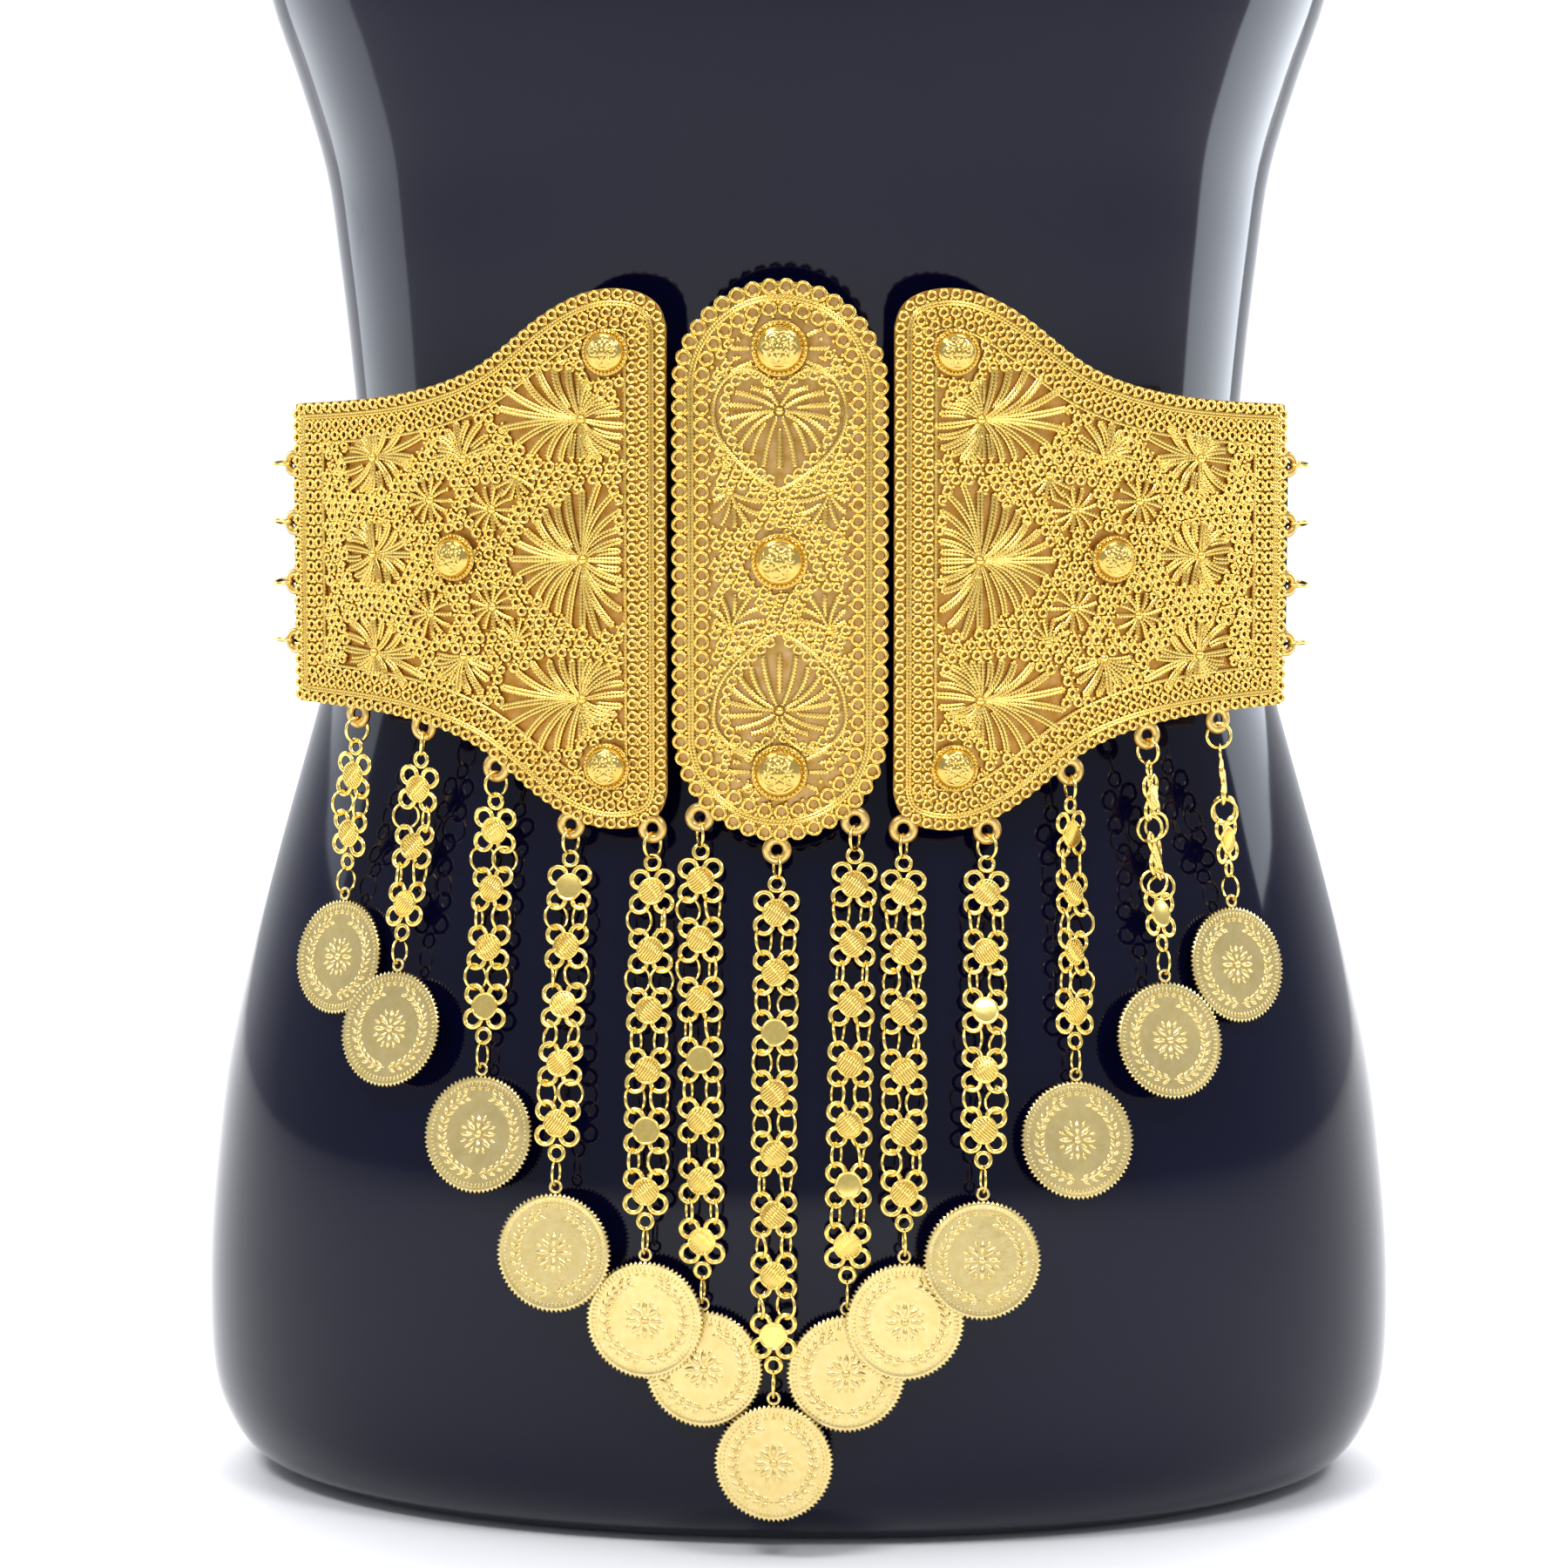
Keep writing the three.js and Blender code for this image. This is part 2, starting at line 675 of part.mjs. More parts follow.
// Half of the band's middle line at a height, from the wing to the back
function bandLine(z) {
  const depth = -(PLATE_THICKNESS / 2 + FIT_GAP + BAND_THICKNESS / 2);
  const start = arcAngle(BAND_START_X);
  const end = arcAngle(WING[WING.length - 1].x) + BAND_OVERSHOOT / PLATE_RADIUS;
  const lead = Array.from({ length: BAND_LEAD_STEPS + 1 }, (_, i) =>
    arcPoint(THREE.MathUtils.lerp(start, end, i / BAND_LEAD_STEPS), depth),
  );
  const corner = lead[BAND_LEAD_STEPS];
  const clear = BAND_CLEARANCE + BAND_THICKNESS / 2;
  const section = sectionAt(z);
  const hug = [];
  for (let angle = BAND_FIRST_ANGLE; angle <= BAND_LAST_ANGLE; angle += 1) {
    hug.push(sectionPoint(section, radians(angle), clear));
  }
  const turnFrom = ([x, y], [ox, oy]) => {
    const ahead = (x - corner[0]) * (oy - corner[1]);
    const aside = (y - corner[1]) * (ox - corner[0]);
    return ahead - aside;
  };
  const tangent = hug.findIndex((point) => hug.every((other) => turnFrom(point, other) >= -1e-9));
  const rest = [corner, ...hug.slice(tangent)];
  const runs = rest.reduce((list, [x, y], i) => {
    const before = i ? rest[i - 1] : rest[0];
    list.push((i ? list[i - 1] : 0) + Math.hypot(x - before[0], y - before[1]));
    return list;
  }, []);
  const total = runs[runs.length - 1];
  const sampled = Array.from({ length: BAND_SIDE_STEPS }, (_, i) => {
    const run = ((i + 1) / BAND_SIDE_STEPS) * total;
    let k = 1;
    while (k < runs.length - 1 && runs[k] < run) k += 1;
    const t = (run - runs[k - 1]) / (runs[k] - runs[k - 1]);
    return [
      THREE.MathUtils.lerp(rest[k - 1][0], rest[k][0], t),
      THREE.MathUtils.lerp(rest[k - 1][1], rest[k][1], t),
    ];
  });
  return [...lead, ...sampled];
}

function elasticBand() {
  const rows = BAND_HEIGHTS.map((z) => {
    const right = bandLine(z);
    const left = right.slice(0, -1).map(([x, y]) => [-x, y]);
    return [...right, ...left.reverse()].map(([x, y]) => new THREE.Vector3(x, y, z));
  });
  const columns = rows[0].length;
  const positions = [];
  rows.forEach((row) => {
    row.forEach((point, i) => {
      const before = row[Math.max(i - 1, 0)];
      const after = row[Math.min(i + 1, columns - 1)];
      const along = after.clone().sub(before).normalize();
      const out = new THREE.Vector3(along.y, -along.x, 0);
      const bend = row[Math.min(i + 1, columns - 1)].clone().sub(point).normalize().dot(along);
      const reach = BAND_THICKNESS / 2 / Math.max(bend, BAND_SHARPEST);
      [1, -1].forEach((face) => {
        const moved = point.clone().addScaledVector(out, face * reach);
        positions.push(moved.x, moved.y, moved.z);
      });
    });
  });
  const faces = [];
  const at = (row, column, face) => (row * columns + column) * 2 + face;
  const quad = (a, b, c, d) => faces.push(a, b, c, a, c, d);
  const last = rows.length - 1;
  for (let i = 0; i < columns - 1; i += 1) {
    for (let row = 0; row < last; row += 1) {
      quad(at(row, i, 0), at(row, i + 1, 0), at(row + 1, i + 1, 0), at(row + 1, i, 0));
      quad(at(row, i + 1, 1), at(row, i, 1), at(row + 1, i, 1), at(row + 1, i + 1, 1));
    }
    quad(at(0, i, 1), at(0, i + 1, 1), at(0, i + 1, 0), at(0, i, 0));
    quad(at(last, i, 0), at(last, i + 1, 0), at(last, i + 1, 1), at(last, i, 1));
  }
  for (let row = 0; row < last; row += 1) {
    quad(at(row, 0, 1), at(row, 0, 0), at(row + 1, 0, 0), at(row + 1, 0, 1));
    const end = columns - 1;
    quad(at(row, end, 0), at(row, end, 1), at(row + 1, end, 1), at(row + 1, end, 0));
  }
  let band = solidOf(geometryFrom(positions, faces));
  const reach = SIDE_RING_RADIUS + WIRE_RADIUS + FIT_GAP;
  [-1, 1].forEach((side) => {
    TAB_HEIGHTS.forEach((height) => {
      const slot = new THREE.BoxGeometry(reach * 2, BAND_SLOT_HALF * 2, reach * 2);
      slot.translate(side * sideRingCentre(), 0, 0);
      slot.applyMatrix4(onArc(side * TAB_X, PLATE_MIDDLE_Z + height, 0));
      band = band.subtract(solidOf(slot));
    });
  });
  return geometryOf(band);
}

const belt = new THREE.Group();

function addPiece(name, geometry, material) {
  const mesh = new THREE.Mesh(geometry, material);
  mesh.name = name;
  belt.add(mesh);
}

addPiece('dress_form', dressForm(), GLOSS_BLACK);

[['left', -1], ['centre', 0], ['right', 1]].forEach(([place, side]) => {
  addPiece(`base_plate_${place}`, basePlate(side), GOLD_BASE);
  addPiece(`filigree_${place}`, filigreePlate(side), GOLD);
  const studs = side === 0 ? CENTRE_STUDS : WING_STUDS;
  const scale = side === 0 ? 1 : WING_STUD_SCALE;
  studs.forEach(([x, height], i) => {
    addPiece(`stud_${place}_${i + 1}`, stud(side * x, height, scale), GOLD);
  });
  if (side !== 0) {
    TAB_HEIGHTS.forEach((height, i) => {
      addPiece(`side_ring_${place}_${i + 1}`, sideRing(side, height), GOLD);
    });
  }
});

addPiece('elastic_band', elasticBand(), ELASTIC);

STRANDS.forEach((strand, i) => {
  addPiece(`strand_${i + 1}`, strandGeometry(strand), GOLD);
  addPiece(`coin_${i + 1}`, coinGeometry(strand), GOLD_COIN);
});

// The origin is under the middle of the whole part's box
const box = new THREE.Box3().setFromObject(belt);
belt.position.y = -(box.min.y + box.max.y) / 2;

export default belt;
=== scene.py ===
# Coin belt on a dress form: the looks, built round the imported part.
# Metres outside, millimetres inside the shape code. +Z is up and the front faces -Y.

import math
import random

import bmesh
import bpy
import numpy as np
from mathutils import Matrix, Vector


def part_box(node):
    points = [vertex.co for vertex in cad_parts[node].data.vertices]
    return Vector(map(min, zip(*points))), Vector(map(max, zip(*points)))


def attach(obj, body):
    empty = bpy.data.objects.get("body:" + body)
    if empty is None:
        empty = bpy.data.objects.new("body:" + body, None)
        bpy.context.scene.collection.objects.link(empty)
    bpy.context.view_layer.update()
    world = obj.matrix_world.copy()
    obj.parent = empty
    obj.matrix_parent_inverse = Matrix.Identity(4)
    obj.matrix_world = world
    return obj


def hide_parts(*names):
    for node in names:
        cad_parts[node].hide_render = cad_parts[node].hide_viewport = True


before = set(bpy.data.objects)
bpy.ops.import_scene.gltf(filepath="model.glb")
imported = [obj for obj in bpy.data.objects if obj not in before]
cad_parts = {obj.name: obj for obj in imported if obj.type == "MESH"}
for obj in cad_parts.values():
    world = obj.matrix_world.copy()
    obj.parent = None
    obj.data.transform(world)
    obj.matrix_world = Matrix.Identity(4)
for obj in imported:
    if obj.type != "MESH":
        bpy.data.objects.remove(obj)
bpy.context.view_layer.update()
MM = 0.001

# Camera, read from the photograph
CAMERA_DISTANCE = 1.276
CAMERA_HEIGHT = 0.317
CAMERA_PITCH = 5.56
CAMERA_AZIMUTH = 2.8
CAMERA_SIDE = -0.0035
CAMERA_LENS = 104.6
SENSOR_WIDTH = 36.0


def make_camera():
    data = bpy.data.cameras.new("camera")
    data.lens = CAMERA_LENS
    data.sensor_width = SENSOR_WIDTH
    data.clip_start = 0.05
    data.clip_end = 30
    camera = bpy.data.objects.new("camera", data)
    turn = math.radians(CAMERA_AZIMUTH)
    right = Vector((math.cos(turn), math.sin(turn), 0))
    back = Vector((math.sin(turn), -math.cos(turn), 0))
    camera.location = back * CAMERA_DISTANCE + right * CAMERA_SIDE + Vector((0, 0, CAMERA_HEIGHT))
    camera.rotation_euler = (math.radians(90 - CAMERA_PITCH), 0, turn)
    bpy.context.scene.collection.objects.link(camera)
    bpy.context.scene.camera = camera


make_camera()

# The same sizes as the part's source, in millimetres
FORM_EXPONENT = 2.1
# Rows of height, half width, front depth and back depth
FORM = np.array((
    (0, 142, 93, 95), (5, 154, 102, 104), (15, 162, 109, 111), (30, 166.5, 111.5, 114),
    (60, 167, 112.5, 116), (90, 164.5, 112, 115.5), (118, 160.8, 109, 112.5), (144, 155, 103.5, 106.5),
    (168, 148.5, 96.5, 99), (192, 141.5, 89, 91), (216, 134.5, 84, 84), (240, 127.8, 81, 79),
    (262, 123.6, 79.5, 76), (285, 122.5, 79.5, 75.5), (312, 124.5, 81.5, 78), (340, 127.6, 86, 83),
    (364, 131, 90, 88.5), (388, 138, 94.5, 94), (412, 146, 98.5, 98.5), (450, 154.5, 103.5, 103),
    (500, 160, 106, 105), (540, 159.5, 102, 102), (570, 152, 93, 96), (592, 136, 83, 88),
    (610, 110, 72, 78), (626, 82, 61, 67), (642, 63, 53.5, 58), (660, 54, 50, 52),
    (688, 52, 49, 50), (694, 48, 45, 46),
))
PLATE_RADIUS = 220.0
PLATE_FRONT = 97.5
PLATE_MIDDLE_Z = 260.0
PLATE_THICKNESS = 1.2
CENTRE_HALF_WIDTH = 28.0
CENTRE_HALF_HEIGHT = 73.0
CENTRE_FACET_DEGREES = 3.28
WING_ROWS = (
    (29.4, 60.5), (30.6, 64.6), (33, 67.6), (37.5, 69.8), (44, 70.6), (51, 69.5),
    (58, 66.4), (64.5, 62.2), (71, 57.0), (77, 52.3), (83, 48.8), (90, 46.0),
    (98, 43.8), (107, 42.2), (119, 41.0), (132.6, 40.2),
)
LUG_RADIUS = 3.65
LUG_HOLE = 1.7
TAB_RADIUS = 3.3
TAB_HOLE = 1.6
TAB_X = 133.6
TAB_HEIGHTS = (24, 8, -8, -24)
WIRE_RADIUS = 0.4
FIT_GAP = 0.3
JUMP_RING_RADIUS = 3.35
SIDE_RING_RADIUS = 3.0
LINK_PITCH = 15.7
FIRST_LINK = 16.7
COIN_LOOP_DROP = 16.5
COIN_LOOP_RISE = 17.1
CHAIN_OFFSET = 4.2
LIFT_STEP = 2.8
LIFT_LENGTH = 45.0
LIFT_END = 35.0
PLATES = (("left", -1), ("centre", 0), ("right", 1))
# Rows of links, lug x, lug z, drift to the side and layer
STRANDS = (
    (2, -115, 217.2, -5.4, 0), (3, -95.9, 214.7, -8, 1), (4, -75.6, 204.6, -3.4, 0),
    (5, -55.3, 190.2, -2.6, 2), (6, -33.5, 189.8, -0.6, 1), (7, -21, 193, 2.2, 0),
    (8, -0.8, 184.6, 0.3, 1), (7, 19.6, 192.2, -1.5, 0), (6, 32.2, 190, 1.2, 1),
    (5, 54, 189.4, -0.7, 2), (4, 75.6, 204.4, 2.3, 0), (3, 95.9, 213.2, 6.4, 1),
    (2, 115, 216.6, 5.6, 0),
)

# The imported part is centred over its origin, which moves the arc of the plates
ARC_MIDDLE_Y = PLATE_RADIUS - PLATE_FRONT
half_facet = math.radians(CENTRE_FACET_DEGREES / 2)
plate_front_y = ARC_MIDDLE_Y - (PLATE_RADIUS + PLATE_THICKNESS / 2) * math.cos(half_facet)
SHIFT_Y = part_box("base_plate_centre")[0][1] / MM - plate_front_y


# Node materials

def new_node(tree, kind, **values):
    node = tree.nodes.new("ShaderNode" + kind)
    for name, value in values.items():
        node.inputs[name.replace("_", " ")].default_value = value
    return node


def new_material(name):
    """A material, its nodes and the sockets of its shader."""
    material = bpy.data.materials.new(name)
    material.use_nodes = True
    tree = material.node_tree
    return material, tree, tree.nodes["Principled BSDF"].inputs


def add_noise(tree, scale, detail=4.0, rough=0.55):
    noise = new_node(tree, "TexNoise", Scale=scale, Detail=detail, Roughness=rough)
    tree.links.new(new_node(tree, "TexCoord").outputs["Object"], noise.inputs["Vector"])
    return noise.outputs["Fac"]


def ramp(tree, source, target, stops):
    """Colours, or greys of one number, between two sockets."""
    node = new_node(tree, "ValToRGB")
    elements = node.color_ramp.elements
    while len(elements) < len(stops):
        elements.new(0.5)
    for element, (at, colour) in zip(elements, stops):
        element.position = at
        element.color = (*colour, 1) if len(colour) == 3 else (*colour * 3, 1)
    tree.links.new(source, node.inputs["Fac"])
    tree.links.new(node.outputs["Color"], target)


def add_bump(tree, shader, height, strength, distance):
    bump = new_node(tree, "Bump", Strength=strength, Distance=distance)
    tree.links.new(height, bump.inputs["Height"])
    tree.links.new(bump.outputs["Normal"], shader["Normal"])


def gold_material(name, dark, light, rough, scale=900.0, bump=0.25, bump_distance=0.00006):
    material, tree, shader = new_material(name)
    shader["Metallic"].default_value = 1.0
    noise = add_noise(tree, scale)
    ramp(tree, noise, shader["Base Color"], ((0.3, dark), (0.7, light)))
    wear = add_noise(tree, 60.0, 6.0)
    ramp(tree, wear, shader["Roughness"], ((0.3, (rough[0],)), (0.75, (rough[1],))))
    add_bump(tree, shader, noise, bump, bump_distance)
    return material


def form_material():
    material, tree, shader = new_material("gloss_black")
    smudge = add_noise(tree, 7.0, 8.0, 0.6)
    ramp(tree, smudge, shader["Base Color"], (
        (0.3, (0.0008, 0.001, 0.009)), (0.75, (0.002, 0.0022, 0.014)),
    ))
    ramp(tree, smudge, shader["Roughness"], ((0.3, (0.05,)), (0.8, (0.10,))))
    shader["IOR"].default_value = 1.32
    add_bump(tree, shader, add_noise(tree, 14.0, 2.0), 0.12, 0.0006)
    return material


def elastic_material():
    material, tree, shader = new_material("elastic")
    ribs = new_node(tree, "TexWave", Scale=260.0, Distortion=0.6)
    ribs.wave_type = "BANDS"
    ribs.bands_direction = "Z"
    tree.links.new(new_node(tree, "TexCoord").outputs["Object"], ribs.inputs["Vector"])
    weave = new_node(tree, "Math")
    weave.operation = "MULTIPLY"
    tree.links.new(ribs.outputs["Fac"], weave.inputs[0])
    tree.links.new(add_noise(tree, 2600.0, 3.0), weave.inputs[1])
    ramp(tree, weave.outputs["Value"], shader["Base Color"], (
        (0.1, (0.004, 0.004, 0.005)), (0.7, (0.018, 0.018, 0.022)),
    ))
    shader["Roughness"].default_value = 0.85
    shader["Specular IOR Level"].default_value = 0.2
    add_bump(tree, shader, weave.outputs["Value"], 0.8, 0.0003)
    return material


FILIGREE_GOLD = gold_material("gold_filigree", (0.81, 0.52, 0.09), (0.92, 0.68, 0.20), (0.15, 0.27))
# The wings' base gold is darker than the centre plate's: painted shade for the deep, narrow gaps between
# their wires.
WING_BASE_PAINTED_SHADE = gold_material("gold_base_wing_painted_shade", (0.42, 0.19, 0.02), (0.60, 0.33, 0.09), (0.34, 0.46), 300.0)
CENTRE_BASE = gold_material("gold_base_centre", (0.48, 0.26, 0.04), (0.66, 0.43, 0.18), (0.34, 0.46), 300.0)
LUG_GOLD = gold_material("gold_lug", (0.70, 0.47, 0.12), (0.80, 0.57, 0.20), (0.2, 0.3), 300.0)
STUD_GOLD = gold_material("gold_stud", (0.69, 0.46, 0.09), (0.76, 0.55, 0.16), (0.10, 0.18), 500.0, 0.1)
CHAIN_GOLD = gold_material("gold_chain", (0.94, 0.66, 0.15), (1.0, 0.78, 0.25), (0.12, 0.22), 700.0, 0.15)
COIN_GOLD = gold_material(
    "gold_coin", (0.77, 0.59, 0.215), (0.85, 0.68, 0.30), (0.24, 0.34), 420.0, 0.35, 0.00012,
)
FORM_BLACK = form_material()
ELASTIC_BLACK = elastic_material()


# Mesh parts are kept as arrays of corners, with faces of four or three

NO_QUADS = np.zeros((0, 4), int)
NO_TRIS = np.zeros((0, 3), int)


def moved(template, matrix):
    points, quads, tris = template
    return points @ matrix[:3, :3].T + matrix[:3, 3], quads, tris


class Shape:
    def __init__(self):
        self.points, self.quads, self.tris = [], [NO_QUADS], [NO_TRIS]
        self.count = 0

    def add(self, template, matrix=None):
        points, quads, tris = template if matrix is None else moved(template, matrix)
        self.points.append(points)
        self.quads.append(quads + self.count)
        self.tris.append(tris + self.count)
        self.count += len(points)

    def arrays(self):
        return [np.concatenate(parts) for parts in (self.points, self.quads, self.tris)]


def make_piece(name, template, material, slot, *nodes, body="root", mapping=None, smooth=True):
    """Named mesh in one material that rides on a body and may stand for nodes of the part."""
    points, quads, tris = template
    if mapping is not None:
        points = mapping(points)
    mesh = bpy.data.meshes.new(name)
    mesh.vertices.add(len(points))
    mesh.vertices.foreach_set("co", (points * MM).astype(np.float32).ravel())
    loops = np.concatenate([quads.ravel(), tris.ravel()]).astype(np.int32)
    totals = np.repeat((4, 3), (len(quads), len(tris))).astype(np.int32)
    starts = np.cumsum(totals) - totals
    mesh.loops.add(len(loops))
    mesh.loops.foreach_set("vertex_index", loops)
    mesh.polygons.add(len(starts))
    mesh.polygons.foreach_set("loop_start", starts.astype(np.int32))
    mesh.polygons.foreach_set("loop_total", totals)
    mesh.polygons.foreach_set("use_smooth", np.full(len(starts), smooth))
    mesh.update(calc_edges=True)
    mesh.validate()
    mesh.materials.append(material)
    obj = bpy.data.objects.new(name, mesh)
    bpy.context.scene.collection.objects.link(obj)
    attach(obj, body)
    if nodes:
        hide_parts(*nodes)
    return obj


def place(x=0.0, y=0.0, z=0.0, turn=0.0, scale=1.0):
    c = math.cos(turn) * scale
    s = math.sin(turn) * scale
    return np.array(((c, -s, 0, x), (s, c, 0, y), (0, 0, scale, z), (0, 0, 0, 1.0)))


def grid_faces(rows, columns, close_rows=False, close_columns=False):
    r = np.arange(rows if close_rows else rows - 1)
    c = np.arange(columns if close_columns else columns - 1)
    a, b = np.meshgrid(r, c, indexing="ij")
    a, b = a.ravel(), b.ravel()
    a1, b1 = (a + 1) % rows, (b + 1) % columns
    return np.stack([a * columns + b, a * columns + b1, a1 * columns + b1, a1 * columns + b], axis=1)


def unit(vectors):
    return vectors / np.linalg.norm(vectors, axis=-1, keepdims=True)


def left_of(along):
    """Unit vectors square to flat directions, on their left."""
    along = unit(along)
    return np.stack([-along[:, 1], along[:, 0]], axis=1)


def polar(radius, angle):
    return np.stack([radius * np.cos(angle), radius * np.sin(angle)], axis=-1)


def round_angles(steps, start=0.0):
    return (np.arange(steps) + start) / steps * 2 * math.pi


def turned_rings(profile, steps, notch=0.0):
    """Points of a turned shape, ring by ring, from its radii and heights."""
    profile = np.array(profile, float)
    level = polar(profile[:, 0:1] - notch, round_angles(steps))
    heights = np.repeat(profile[:, 1:2], steps, 1)[..., None]
    return np.concatenate([level, heights], axis=-1).reshape(-1, 3)


def stacked(points, sides, first, last, flip=False):
    """A pile of point rings joined by faces of four and closed by a point at each end."""
    k = np.arange(sides)
    k1 = (k + 1) % sides
    rim = len(points) - sides
    quads = grid_faces(len(points) // sides, sides, False, True)
    tris = np.vstack([
        np.stack([np.full(sides, len(points)), k1, k], axis=1),
        np.stack([np.full(sides, len(points) + 1), rim + k, rim + k1], axis=1),
    ])
    if flip:
        quads, tris = quads[:, ::-1], tris[:, (0, 2, 1)]
    return np.vstack([points, first, last]), quads, tris


def torus(radius, wire, steps=14, sides=6, flat=1.0):
    uu, vv = np.meshgrid(round_angles(steps), round_angles(sides, 0.5), indexing="ij")
    level = polar(radius + wire * np.cos(vv), uu)
    points = np.concatenate([level, (wire * flat * np.sin(vv))[..., None]], axis=-1)
    return points.reshape(-1, 3), grid_faces(steps, sides, True, True)[:, ::-1], NO_TRIS


def tube(path, radii, sides=6, flat=1.0, closed=False):
    """Round wire along a path in its own plane or in space, with capped ends."""
    path = np.asarray(path, float)
    if path.shape[1] == 2:
        path = np.column_stack([path, np.zeros(len(path))])
    radii = np.broadcast_to(radii, len(path))
    if closed:
        along = np.roll(path, -1, 0) - np.roll(path, 1, 0)
    else:
        along = np.gradient(path, axis=0)
    along = unit(along)
    side = unit(np.cross((0, 0, 1.0), along))
    lift = np.cross(along, side)
    v = round_angles(sides, 0.5)
    reach = radii[:, None, None]
    wide = reach * np.cos(v)[:, None] * side[:, None]
    high = reach * flat * np.sin(v)[:, None] * lift[:, None]
    points = (path[:, None] + wide + high).reshape(-1, 3)
    if closed:
        return points, grid_faces(len(path), sides, True, True), NO_TRIS
    return stacked(points, sides, path[0], path[-1])


def lathe(profile, steps):
    """Closed turned shape about the local Z axis; the profile starts and ends on the axis."""
    bottom, top = (0, 0, profile[0][1]), (0, 0, profile[-1][1])
    return stacked(turned_rings(profile[1:-1], steps), steps, bottom, top)


def bead(radius, height, steps=6):
    return lathe(((0, -height * 0.3), (radius * 0.9, 0), (radius * 0.75, height * 0.6), (0, height)), steps)


# The plates' arc: x along the arc, y up from the middle, z outward

def on_arc(points):
    angle = points[:, 0] / PLATE_RADIUS
    radius = PLATE_RADIUS + points[:, 2]
    return np.stack([
        radius * np.sin(angle),
        ARC_MIDDLE_Y - radius * np.cos(angle) + SHIFT_Y,
        PLATE_MIDDLE_Z + points[:, 1],
    ], axis=1)


def along_arc(x):
    return PLATE_RADIUS * math.asin(x / PLATE_RADIUS)


def smooth_curve(points, steps=8):
    """Catmull-Rom curve through the points."""
    points = np.array(points, float)
    padded = np.vstack([2 * points[0] - points[1], points, 2 * points[-1] - points[-2]])
    t = (np.arange(steps) / steps)[:, None]
    curve = [0.5 * (
        2 * p1 + (p2 - p0) * t + (2 * p0 - 5 * p1 + 4 * p2 - p3) * t * t
        + (3 * p1 - p0 - 3 * p2 + p3) * t ** 3
    ) for p0, p1, p2, p3 in zip(padded, padded[1:], padded[2:], padded[3:])]
    return np.vstack([*curve, points[-1:]])


def run_lengths(points):
    return np.concatenate([[0], np.cumsum(np.linalg.norm(np.diff(points, axis=0), axis=1))])


def points_at(points, runs, want):
    return np.stack([np.interp(want, runs, column) for column in points.T], axis=1)


def resample(points, step, closed=True):
    if closed:
        points = np.vstack([points, points[0]])
    runs = run_lengths(points)
    count = max(round(runs[-1] / step), 2)
    want = np.linspace(0, runs[-1], count + 1)
    return points_at(points, runs, want[:-1] if closed else want)


OUTLINE_STEP = 0.5


def wing_outline():
    upper = smooth_curve([(along_arc(x), h) for x, h in WING_ROWS])
    lower = upper[::-1] * (1, -1)
    return resample(np.vstack([upper, lower]), OUTLINE_STEP)


def centre_outline():
    straight = CENTRE_HALF_HEIGHT - CENTRE_HALF_WIDTH
    top = polar(CENTRE_HALF_WIDTH, np.linspace(0, math.pi, 60)) + (0, straight)
    return resample(np.vstack([top, -top]), OUTLINE_STEP)


def inset(outline, distance, step):
    """Evenly spaced places a distance inside an outline."""
    x, y = outline.T
    turns = math.copysign(1, np.sum(x * np.roll(y, -1) - np.roll(x, -1) * y))
    normal = left_of(np.roll(outline, -1, 0) - np.roll(outline, 1, 0)) * turns
    moved = outline + normal * distance
    gaps = np.linalg.norm(moved[:, None, :] - outline[None, ::2, :], axis=2).min(axis=1)
    return resample(moved[gaps > distance - 0.12], step)


def depth_inside(outline, places):
    """How far places lie inside an outline, negative outside."""
    outline = outline[::2]
    near = np.linalg.norm(places[:, None, :] - outline[None, :, :], axis=2).min(axis=1)
    x, y = places[:, :1], places[:, 1:]
    (x0, y0), (x1, y1) = outline.T, np.roll(outline, -1, 0).T
    crosses = ((y0 > y) != (y1 > y)) & (x < (x1 - x0) * (y - y0) / (y1 - y0 + 1e-12) + x0)
    return np.where(crosses.sum(axis=1) % 2 == 1, near, -near)


# Flat plates are cut from curves, sliced into narrow strips and laid on the arc

BASE_BEVEL = 0.18
STRIP = 4.0


